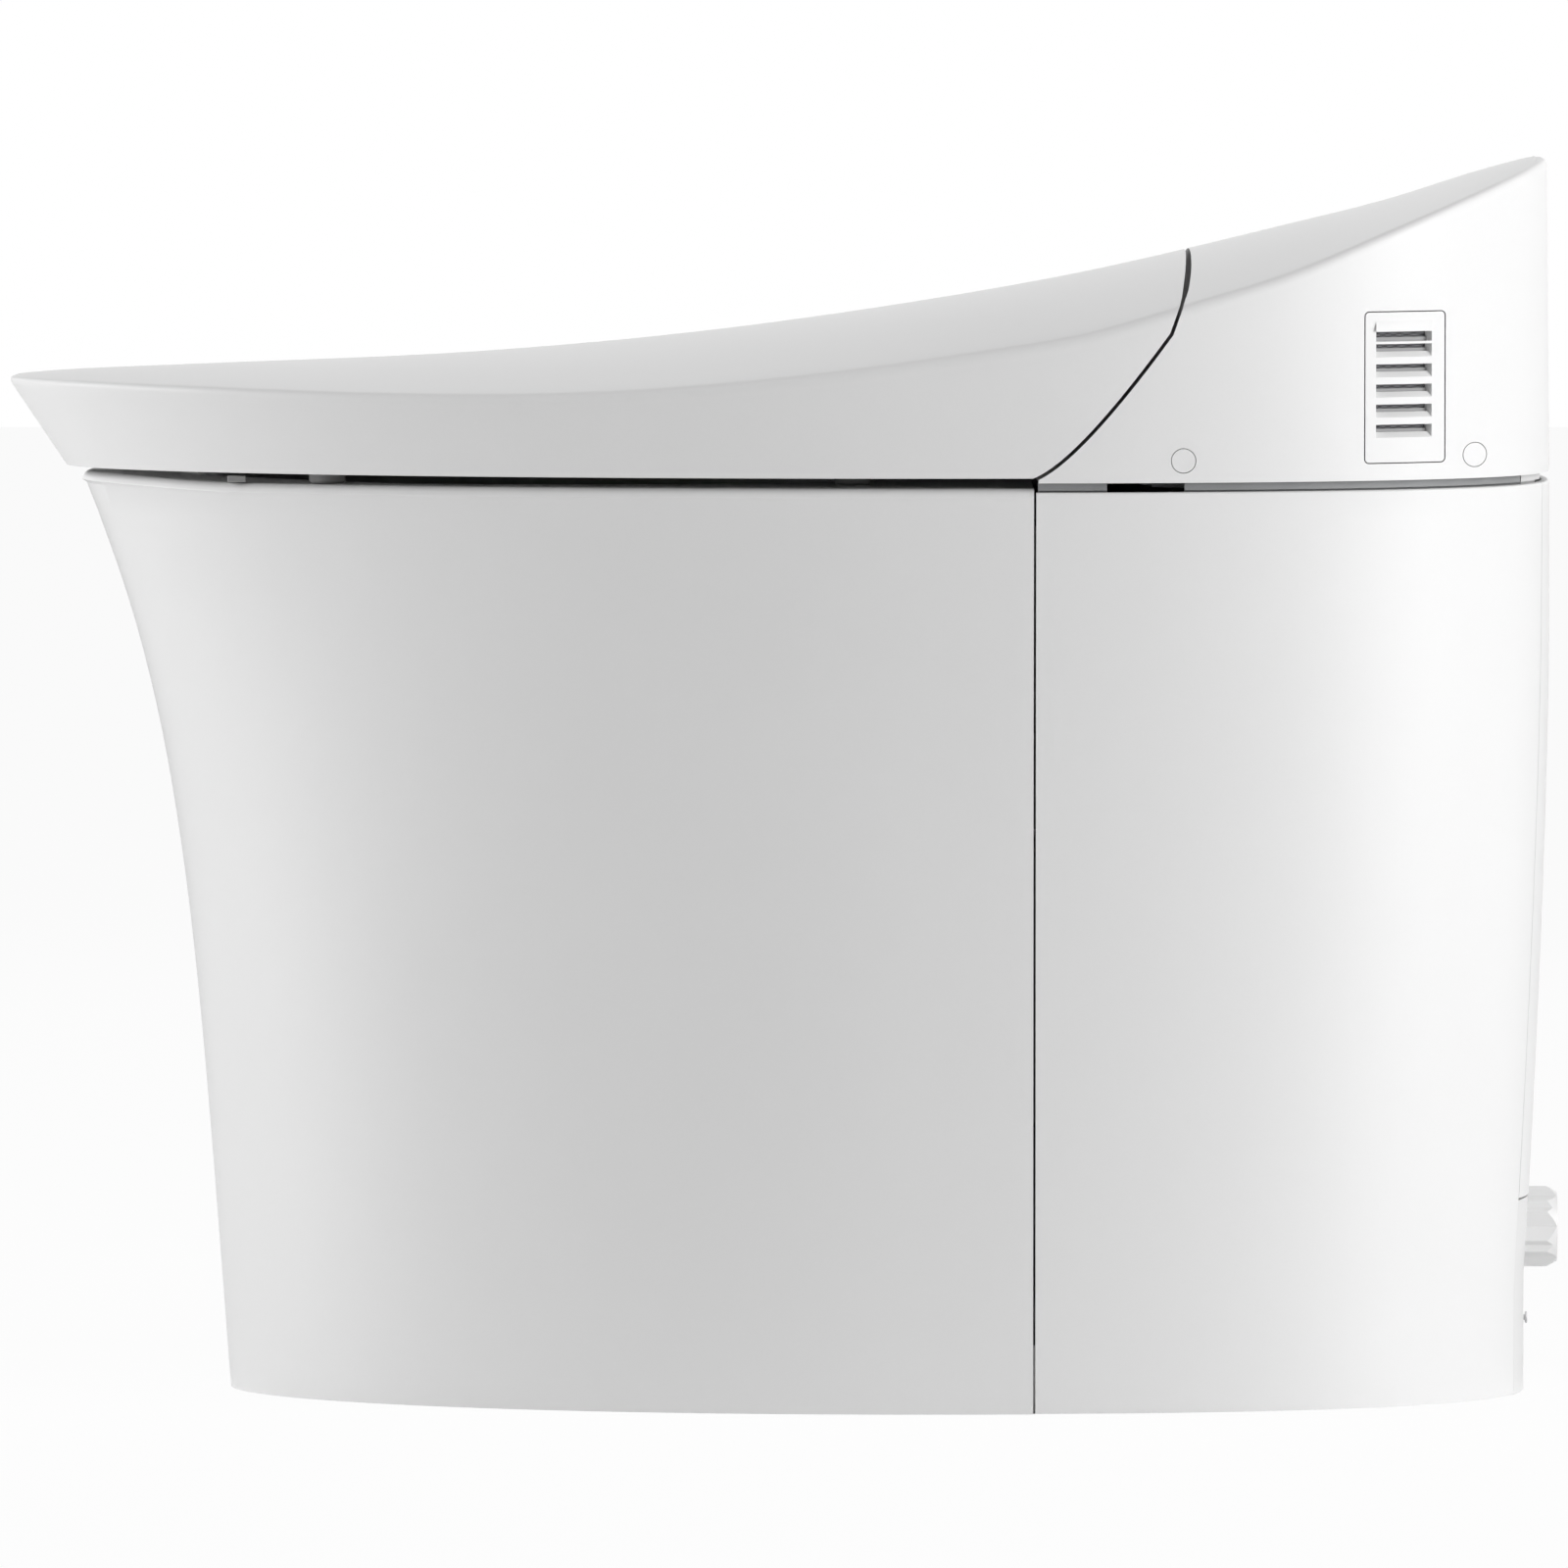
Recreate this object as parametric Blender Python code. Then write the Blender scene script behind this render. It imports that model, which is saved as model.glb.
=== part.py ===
"""One-piece bidet toilet, as an assembly of separate pieces, in metres with +Z up.

The toilet stands on z = 0, faces -Y, and X runs across it. Every visible shell is cut from two
forms: the body form, an oval that flares from the floor to the rim, and the cap form above it,
whose crowned top sweeps up to the rear. The lid, the rear housing and the side panels share them,
so their surfaces run on across the seams.
"""
import math

import bmesh
import bpy
import numpy as np
from mathutils import Matrix, Vector

# Fits between pieces
FIT = 0.0003
SEAM_GAP = 0.0012
PANEL_GAP = 0.0010
RUNNING = 0.0005
OVERRUN = 0.020

# Plan oval, shared by every level of the body and the cap
WIDEST_Y = 0.055
REAR_SQUARENESS = 2.6

# Body form, from the floor to the rim
FLOOR_HALF_WIDTH = 0.180
FLOOR_FRONT_Y = -0.2457
FLOOR_REAR_Y = 0.3285
RIM_Z = 0.4050
RIM_HALF_WIDTH = 0.203
FRONT_LEAN = 0.0304
FRONT_FLARE = 0.0356
FLARE_POWER = 4.4
SIDE_FLARE = 0.011
SIDE_FLARE_POWER = 4.0
REAR_FACE_Y = 0.3391
REAR_CURVE_Z = 0.332
REAR_CURVE_DEPTH = 0.0087
REAR_CURVE_REACH = 0.246
REAR_CURVE_POWER = 1.5
RIM_EDGE = 0.004

# Cap form: lid and rear housing
LID_LIFT = 0.0034
LID_BOTTOM_Z = RIM_Z + LID_LIFT
CAP_OVERHANG = 0.001
CAP_HALF_WIDTH = RIM_HALF_WIDTH + CAP_OVERHANG
CAP_FRONT_OVERHANG = 0.0057
CAP_FRONT_Y = FLOOR_FRONT_Y - FRONT_LEAN - FRONT_FLARE - CAP_FRONT_OVERHANG
CREASE_REACH = 0.009
CREASE_HALF_WIDTH = CAP_HALF_WIDTH + CREASE_REACH
CREASE_FRONT_REACH = 0.0273
CREASE_FRONT_Y = CAP_FRONT_Y - CREASE_FRONT_REACH
CREASE_REAR_DRAFT = 0.0013
CREASE_REAR_Y = REAR_FACE_Y - CREASE_REAR_DRAFT
CREASE_EDGE = 0.003
LID_SIDE_HEIGHT = 0.0386
TIP_Z = LID_BOTTOM_Z + LID_SIDE_HEIGHT
TIP_CROWN = 0.0013
TOP_TIP_Z = TIP_Z + TIP_CROWN
CAP_RISE = 0.1003
PEAK_Z = TIP_Z + CAP_RISE
# Heights along the cap, as (share of its length, share of its rise)
TOP_LINE_SHARES = ((0.0, 0.0), (0.03, 0.03), (0.12, 0.048), (0.32, 0.115), (0.445, 0.194), (0.57, 0.31),
                   (0.70, 0.467), (0.83, 0.675), (0.90, 0.795), (0.96, 0.925), (1.0, 1.0))
CREASE_LINE_SHARES = ((0.0, 0.0), (0.44, 0.0), (0.55, 0.078), (0.63, 0.157), (0.69, 0.225), (0.76, 0.36),
                      (0.83, 0.51), (0.89, 0.68), (0.96, 0.88), (1.0, 0.995))

# Seam between the lid and the rear housing, seen from the side
SEAM_FOOT_Y = 0.1030
SEAM_PULL_Y = 0.1210
SEAM_KNEE_Y = 0.1678
SEAM_KNEE_Z = LID_BOTTOM_Z + 0.0642
SEAM_CREASE_Y = 0.1732
SEAM_CREASE_Z = LID_BOTTOM_Z + 0.0793
SEAM_TOP_Y = 0.1780
SEAM_TOP_Z = LID_BOTTOM_Z + 0.0976

# Joint axes
LID_AXIS_Y = 0.1665
LID_AXIS_RISE = 0.0821
LID_AXIS_Z = LID_BOTTOM_Z + LID_AXIS_RISE
LID_AXIS = (LID_AXIS_Y, LID_AXIS_Z)
SEAT_AXIS_Y = 0.1120
SEAT_AXIS_RISE = 0.0206
SEAT_AXIS_Z = LID_BOTTOM_Z + SEAT_AXIS_RISE
SEAT_AXIS = (SEAT_AXIS_Y, SEAT_AXIS_Z)

# Wall thicknesses
CERAMIC_WALL = 0.012
LID_WALL = 0.0040
HOUSING_WALL = 0.0030
PANEL_WALL = 0.0035

# Seam between the ceramic body and the side panels, and the rear strip between the panels
BODY_REAR_Y = 0.1087
PANEL_DROP = 0.0017
PANEL_TOP_Z = RIM_Z - PANEL_DROP
HOUSING_SKIRT = 0.0014
HOUSING_BOTTOM_Z = LID_BOTTOM_Z - HOUSING_SKIRT
STRIP_HALF_WIDTH = 0.060
STRIP_BOTTOM_Z = 0.0870

# Facets
PLAN_STEPS = 26
CROWN_STEPS = 10
ROUND_STEPS = 20
BAR_STEPS = 16
PIN_STEPS = 12
HEX_STEPS = 6
TROUGH_STEPS = 6
TROUGH_HALF_WIDTH = 0.196
SEAM_STEPS = 8


def clear_scene():
    """Remove every object, so that the script can be run again."""
    for item in list(bpy.data.objects):
        bpy.data.objects.remove(item, do_unlink=True)


def finish(name, color, roughness, metallic=0.0):
    """A Principled material."""
    made = bpy.data.materials.new(name)
    made.use_nodes = True
    shader = made.node_tree.nodes["Principled BSDF"]
    shader.inputs["Base Color"].default_value = (*color, 1.0)
    shader.inputs["Roughness"].default_value = roughness
    shader.inputs["Metallic"].default_value = metallic
    return made


def solid(name, build, made, origin=(0, 0, 0)):
    """An object from a filled bmesh, given in world places, with its origin where asked."""
    bmesh.ops.remove_doubles(build, verts=build.verts, dist=1e-6)
    bmesh.ops.recalc_face_normals(build, faces=build.faces)
    bmesh.ops.translate(build, verts=build.verts, vec=-Vector(origin))
    mesh = bpy.data.meshes.new(name)
    build.to_mesh(mesh)
    build.free()
    mesh.materials.append(made)
    mesh.shade_smooth()
    mesh.set_sharp_from_angle(angle=math.radians(32))
    item = bpy.data.objects.new(name, mesh)
    item.location = origin
    bpy.context.scene.collection.objects.link(item)
    return item


def loft(name, rings, made, origin=(0, 0, 0)):
    """A solid through rings of equal count, closed at both ends."""
    build = bmesh.new()
    rows = [[build.verts.new(point) for point in ring] for ring in rings]
    count = len(rows[0])
    for low, high in zip(rows, rows[1:]):
        for i in range(count):
            j = (i + 1) % count
            build.faces.new((low[i], low[j], high[j], high[i]))
    build.faces.new(rows[0])
    build.faces.new(rows[-1])
    return solid(name, build, made, origin)


def modified(target, kind, **settings):
    """Apply one modifier to an object."""
    step = target.modifiers.new(kind.title(), kind)
    for key, value in settings.items():
        setattr(step, key, value)
    bpy.context.view_layer.update()
    seen = target.evaluated_get(bpy.context.evaluated_depsgraph_get())
    mesh = bpy.data.meshes.new_from_object(seen)
    target.modifiers.clear()
    target.data = mesh
    mesh.shade_smooth()
    mesh.set_sharp_from_angle(angle=math.radians(32))
    return target


def combine(target, tools, operation):
    """Add, cut or intersect each tool in turn, and remove the tools.

    The exact solver loses these thin curved shells, and every form here is closed, so the
    manifold solver does the work.
    """
    for tool in tools:
        modified(target, "BOOLEAN", operation=operation, object=tool, solver="MANIFOLD")
        bpy.data.objects.remove(tool, do_unlink=True)
    return target


def cut(target, *tools):
    return combine(target, tools, "DIFFERENCE")


def join(target, *tools):
    return combine(target, tools, "UNION")


def keep(target, *tools):
    return combine(target, tools, "INTERSECT")


def block(name, low, high, made, edge=0.0, origin=(0, 0, 0)):
    """A box between two corners, with its edges rounded by one bevel."""
    build = bmesh.new()
    bmesh.ops.create_cube(build, size=1.0)
    size = Vector(high) - Vector(low)
    bmesh.ops.scale(build, verts=build.verts, vec=size)
    bmesh.ops.translate(build, verts=build.verts, vec=(Vector(high) + Vector(low)) / 2)
    if edge:
        bmesh.ops.bevel(build, geom=build.edges[:], offset=edge, segments=1, affect="EDGES",
                        clamp_overlap=True)
    return solid(name, build, made, origin)


def turned(name, stations, made, centre, axis, steps=ROUND_STEPS, origin=(0, 0, 0)):
    """A solid of revolution through (distance along the axis, radius) stations."""
    turn = Vector((0, 0, 1)).rotation_difference(Vector(axis)).to_matrix()
    rings = []
    for along, radius in stations:
        angles = [math.tau * i / steps for i in range(steps)]
        points = [turn @ Vector((radius * math.cos(a), radius * math.sin(a), along)) for a in angles]
        rings.append([point + Vector(centre) for point in points])
    return loft(name, rings, made, origin)


def rod(name, start, end, radius, made, edge=0.0, steps=ROUND_STEPS, origin=(0, 0, 0)):
    """A round bar from start to end, with its ends chamfered."""
    way = Vector(end) - Vector(start)
    stations = [(0, radius), (way.length, radius)]
    if edge:
        stations = [(0, radius - edge), (edge, radius), (way.length - edge, radius),
                    (way.length, radius - edge)]
    return turned(name, stations, made, start, way.normalized(), steps, origin)


def cross_rod(name, low_x, high_x, axis, radius, made, steps=ROUND_STEPS, edge=0.0):
    """A round bar across the part, about an axis that holds (y, z)."""
    return rod(name, (low_x, *axis), (high_x, *axis), radius, made, edge, steps)


def prism(name, outline, low_x, high_x, made, origin=(0, 0, 0)):
    """A side-view outline of (y, z) points, drawn out across X."""
    rings = [[(x, y, z) for y, z in outline] for x in (low_x, high_x)]
    return loft(name, rings, made, origin)


def pipe(name, route, radius, made, steps=12):
    """A round pipe along a route in the plane x = 0 that holds (y, z) points."""
    points = [Vector((0, y, z)) for y, z in route]
    rings = []
    for i, point in enumerate(points):
        way = (points[min(i + 1, len(points) - 1)] - points[max(i - 1, 0)]).normalized()
        side = Vector((1, 0, 0))
        up = way.cross(side)
        angles = [math.tau * k / steps for k in range(steps)]
        rings.append([point + radius * (math.cos(a) * side + math.sin(a) * up) for a in angles])
    return loft(name, rings, made)


def smooth(share, table):
    """Read a table of (place, value) shares along a smooth curve through them."""
    places = np.array([row[0] for row in table])
    values = np.array([row[1] for row in table])
    slopes = np.gradient(values, places)
    slopes[0] = (values[1] - values[0]) / (places[1] - places[0])
    share = min(max(share, 0), 1)
    i = min(int(np.searchsorted(places, share, side="right")) - 1, len(places) - 2)
    span = places[i + 1] - places[i]
    t = (share - places[i]) / span
    rise = values[i + 1] - values[i]
    bend_in = slopes[i] * span
    bend_out = slopes[i + 1] * span
    return float(values[i] + t * (bend_in + t * ((3 * rise - 2 * bend_in - bend_out)
                                                 + t * (bend_in + bend_out - 2 * rise))))


def plan_point(angle, half_width, front_y, rear_y, inset=0.0):
    """A point of the plan oval: angle 0 is the front tip, pi the middle of the rear."""
    half = half_width - inset
    if angle <= math.pi / 2:
        return half * math.sin(angle), WIDEST_Y - (WIDEST_Y - front_y - inset) * math.cos(angle)
    power = 2 / REAR_SQUARENESS
    across = max(math.sin(angle), 0) ** power
    along = abs(math.cos(angle)) ** power
    return half * across, WIDEST_Y + (rear_y - inset - WIDEST_Y) * along


def plan_ring(half_width, front_y, rear_y, z, inset=0.0, steps=PLAN_STEPS):
    """The whole oval at one height."""
    angles = [math.pi * i / steps for i in range(steps + 1)]
    right = [plan_point(a, half_width, front_y, rear_y, inset) for a in angles]
    left = [(-x, y) for x, y in reversed(right[1:-1])]
    return [(x, y, z) for x, y in right + left]


def body_level(z):
    """Half width, front and rear of the body form at a height."""
    share = max(z, 0) / RIM_Z
    half = (FLOOR_HALF_WIDTH + (RIM_HALF_WIDTH - FLOOR_HALF_WIDTH - SIDE_FLARE) * share
            + SIDE_FLARE * share ** SIDE_FLARE_POWER)
    front = FLOOR_FRONT_Y - FRONT_LEAN * share - FRONT_FLARE * share ** FLARE_POWER
    below = max(REAR_CURVE_Z - z, 0) / REAR_CURVE_REACH
    rear = max(REAR_FACE_Y - REAR_CURVE_DEPTH * below ** REAR_CURVE_POWER, FLOOR_REAR_Y)
    return half, front, rear


BODY_RISE_SHARES = (0.0, 0.2, 0.4, 0.58, 0.74, 0.87, 0.95, 1.0)


def body_form(name, low, high, inset, made, steps=PLAN_STEPS, edge=0.0, levels=BODY_RISE_SHARES):
    """The body form between two heights, drawn in by an inset, with its top edge rounded."""
    rings = []
    for share in levels:
        z = low + (high - edge - low) * share
        rings.append(plan_ring(*body_level(z), z, inset, steps))
    for turn in (math.pi / 4, math.pi / 2) if edge else ():
        z = high - edge + edge * math.sin(turn)
        rings.append(plan_ring(*body_level(high), z, inset + edge * (1 - math.cos(turn)), steps))
    return loft(name, rings, made)


def cap_heights(y, drop=0.0):
    """Height of the crease and of the centre line of the cap at a place along it."""
    share = (y - CREASE_FRONT_Y) / (CREASE_REAR_Y - CREASE_FRONT_Y)
    crease = TIP_Z + (PEAK_Z - TIP_Z) * smooth(share, CREASE_LINE_SHARES)
    centre = TOP_TIP_Z + (PEAK_Z - TOP_TIP_Z) * smooth(share, TOP_LINE_SHARES)
    return crease - drop, centre - drop


def cap_surface(x, y, half, drop=0.0):
    """Height of the crowned top at a place, half being the half width there."""
    crease, centre = cap_heights(y, drop)
    across = min(abs(x) / half, 1) if half > FIT else 0
    return crease + (centre - crease) * (1 - across ** 2)


def cap_form(name, low, inset, made, steps=PLAN_STEPS, crown=CROWN_STEPS):
    """The cap as a solid: slanted side wall, rounded crease and crowned top, drawn in by an inset."""
    rings = []
    for i in range(steps + 1):
        angle = math.pi * i / steps
        foot_x, foot_y = plan_point(angle, CAP_HALF_WIDTH, CAP_FRONT_Y, REAR_FACE_Y, inset)
        edge_x, edge_y = plan_point(angle, CREASE_HALF_WIDTH, CREASE_FRONT_Y, CREASE_REAR_Y, inset)
        top_x, top_y = plan_point(angle, CREASE_HALF_WIDTH, CREASE_FRONT_Y, CREASE_REAR_Y,
                                  inset + CREASE_EDGE)
        edge_z = cap_heights(edge_y, inset)[0]
        foot = Vector((foot_x, foot_y, LID_BOTTOM_Z))
        corner = Vector((edge_x, edge_y, edge_z))
        down = (foot - corner).normalized()
        lowest = corner + down * ((edge_z - low) / abs(down.z))
        below = corner + down * CREASE_EDGE
        inner = Vector((top_x, top_y, cap_surface(top_x, top_y, edge_x, inset)))
        side = [lowest, below, (below + 2 * corner + inner) / 4, inner]
        top = []
        for k in range(1, crown):
            x = top_x * (1 - 2 * k / crown)
            top.append(Vector((x, top_y, cap_surface(x, top_y, edge_x, inset))))
        other = [Vector((-p.x, p.y, p.z)) for p in reversed(side)]
        rings.append(side + top + other)
    build = bmesh.new()
    rows = [[build.verts.new(point) for point in ring] for ring in rings]
    count = len(rows[0])
    for low_row, high_row in zip(rows, rows[1:]):
        for i in range(count):
            j = (i + 1) % count
            build.faces.new((low_row[i], low_row[j], high_row[j], high_row[i]))
    bmesh.ops.remove_doubles(build, verts=build.verts, dist=1e-6)
    bmesh.ops.dissolve_degenerate(build, edges=build.edges, dist=1e-6)
    return solid(name, build, made)


def seam_line(grow=0.0):
    """The seam between lid and housing in side view, foot to top, moved back by grow."""
    line = []
    for i in range(SEAM_STEPS + 1):
        t = i / SEAM_STEPS
        y = (1 - t) ** 2 * SEAM_FOOT_Y + 2 * t * (1 - t) * SEAM_PULL_Y + t ** 2 * SEAM_KNEE_Y
        z = (1 - t ** 2) * LID_BOTTOM_Z + t ** 2 * SEAM_KNEE_Z
        line.append((y, z))
    line += [(SEAM_CREASE_Y, SEAM_CREASE_Z), (SEAM_TOP_Y, SEAM_TOP_Z)]
    moved = []
    for i, (y, z) in enumerate(line):
        before = line[max(i - 1, 0)]
        after = line[min(i + 1, len(line) - 1)]
        along = Vector((after[0] - before[0], after[1] - before[1])).normalized()
        moved.append((y + grow * along.y, z - grow * along.x))
    return moved


def lid_space(name, grow, made):
    """Everything in front of the seam, and past grow the round trough that the lid's rear edge turns in."""
    reach = CREASE_HALF_WIDTH + OVERRUN
    line = seam_line(grow)
    slope = (line[-1][0] - line[-2][0]) / (line[-1][1] - line[-2][1])
    top_y = line[-1][0] + slope * OVERRUN
    front = CREASE_FRONT_Y - OVERRUN
    bottom = HOUSING_BOTTOM_Z - OVERRUN
    outline = ([(front, bottom), (line[0][0] - OVERRUN / 5, bottom)] + line
               + [(top_y, PEAK_Z), (front, PEAK_Z)])
    space = prism(name, outline, -reach, reach, made)
    if not grow:
        return space
    stations = []
    for k in range(-TROUGH_STEPS, TROUGH_STEPS + 1):
        x = TROUGH_HALF_WIDTH * k / TROUGH_STEPS
        height = cap_surface(x, SEAM_TOP_Y, CREASE_HALF_WIDTH)
        lean = (SEAM_TOP_Y - SEAM_CREASE_Y) / (SEAM_TOP_Z - SEAM_CREASE_Z)
        back = SEAM_CREASE_Y + (height - SEAM_CREASE_Z) * lean - LID_AXIS_Y
        radius = math.hypot(back, max(height - LID_AXIS_Z, 0)) + grow
        stations.append((x, radius))
    trough = turned(name + "_trough", stations, made, (0, LID_AXIS_Y, LID_AXIS_Z), (1, 0, 0))
    return join(space, trough)


# Ceramic base: bowl, trapway, foot and the rear bulkhead that carries the deck
BOWL_HALF_WIDTH = 0.140
BOWL_FRONT_Y = -0.260
BOWL_REAR_Y = 0.064
BOWL_WALL = 0.010
SUMP_Y = -0.048
SUMP_Z = 0.095
RIM_DEPTH = 0.034
# Bowl levels as (share of the depth, share of the half width, share of the length)
BOWL_LEVEL_SHARES = ((0.0, 0.20, 0.17), (0.06, 0.27, 0.23), (0.22, 0.34, 0.29), (0.40, 0.50, 0.46),
                     (0.60, 0.71, 0.68), (0.78, 0.89, 0.88), (0.90, 0.98, 0.975), (1.0, 1.0, 1.0))
BOWL_CENTRED_SHARE = 0.9
BOWL_STEPS = 16
TRAP_BORE = 0.027
TRAP_WALL = 0.006
OUTLET_Y = 0.044
# Trapway centre line as (y, z): up from the sump, over the weir and down to the outlet
TRAP_ROUTE = ((SUMP_Y, SUMP_Z + 0.030), (-0.012, 0.112), (0.034, 0.128), (0.072, 0.172), (0.114, 0.214),
              (0.158, 0.196), (0.168, 0.148), (0.140, 0.096), (0.090, 0.066), (0.052, 0.040), (OUTLET_Y, 0))
HORN_RADIUS = 0.060
HORN_HEIGHT = 0.032
GASKET_RADIUS = 0.051
GASKET_HEIGHT = 0.013
FOOT_HEIGHT = 0.030
BULKHEAD_REAR_Y = 0.3140
BULKHEAD_DEPTH = 0.014
WINDOW_HALF_WIDTH = 0.052
WINDOW_LOW_Z = 0.100
WINDOW_HIGH_Z = 0.330
DECK_DROP = 0.0170
DECK_SEAT_Z = RIM_Z - DECK_DROP
DECK_THICK = 0.0120
DECK_TOP_Z = DECK_SEAT_Z + FIT + DECK_THICK
LEDGE_DEPTH = 0.018
LEDGE_HEIGHT = 0.026
LEDGE_HALF_WIDTH = 0.165
BOLT_INSET = 0.040
BOLT_X = FLOOR_HALF_WIDTH - BOLT_INSET
BOLT_Y = 0.150
BOLT_RADIUS = 0.0035
BOLT_HEAD_RADIUS = 0.0085
BOLT_HEAD_HEIGHT = 0.006
NOTCH_HALF_WIDTH = 0.022
WAND_RADIUS = 0.009
WAND_TIP_Y = 0.0960
WAND_TIP_DROP = 0.0085
WAND_TIP_Z = RIM_Z - WAND_TIP_DROP
WAND_SLOPE = math.radians(20)
WAND_LENGTH = 0.185
WAND_TRAVEL = 0.105
WAND_STEPS = 20
WAND_WAY = 0.0015
HOLLOW_STEPS = 20
HOLLOW_RISE_SHARES = (0.0, 0.3, 0.6, 0.85, 1.0)
BOLT_WASHER_SHARE = 1.4
INLET_X = -0.035
INLET_Z = 0.0684
INLET_BORE = 0.0115
SCREW_X = 0.010
SCREW_Z = 0.0309
SCREW_HEAD_RADIUS = 0.0026
SCREW_HEAD_HEIGHT = 0.0013
SCREW_RADIUS = 0.0013
SCREW_LENGTH = 0.011


def curve_through(route, spacing=3):
    """A smooth curve through route points, as a list of (y, z)."""
    points = [Vector(p) for p in route]
    ends = [2 * points[0] - points[1]] + points + [2 * points[-1] - points[-2]]
    line = []
    for i in range(1, len(ends) - 2):
        before, start, end, after = ends[i - 1:i + 3]
        for k in range(spacing):
            t = k / spacing
            bend = 2 * before - 5 * start + 4 * end - after
            twist = 3 * start - before - 3 * end + after
            line.append((2 * start + (end - before) * t + bend * t ** 2 + twist * t ** 3) / 2)
    return [tuple(p) for p in line] + [tuple(points[-1])]


def bowl_form(name, grow, top, made):
    """The bowl's inside, grown outwards by grow, from the sump to the rim."""
    rings = []
    middle = (BOWL_FRONT_Y + BOWL_REAR_Y) / 2
    half_length = (BOWL_REAR_Y - BOWL_FRONT_Y) / 2
    for depth, width, length in BOWL_LEVEL_SHARES:
        z = SUMP_Z - grow + (top - SUMP_Z + grow) * depth
        y = SUMP_Y + (middle - SUMP_Y) * min(depth / BOWL_CENTRED_SHARE, 1)
        angles = [math.tau * k / (2 * BOWL_STEPS) for k in range(2 * BOWL_STEPS)]
        rings.append([((BOWL_HALF_WIDTH * width + grow) * math.sin(a),
                       y - (half_length * length + grow) * math.cos(a), z) for a in angles])
    return loft(name, rings, made)


def wand_point(along, lift=0.0):
    """A place on the wand's centre line, measured back from the tip, lifted square to it."""
    y = WAND_TIP_Y + along * math.cos(WAND_SLOPE) - lift * math.sin(WAND_SLOPE)
    z = WAND_TIP_Z + along * math.sin(WAND_SLOPE) + lift * math.cos(WAND_SLOPE)
    return y, z


def wand_rod(name, start, end, radius, made, x=0.0, lift=0.0, edge=0.0, origin=(0, 0, 0)):
    """A round bar along the wand's line."""
    return rod(name, (x, *wand_point(start, lift)), (x, *wand_point(end, lift)), radius, made, edge,
               WAND_STEPS, origin)


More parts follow.
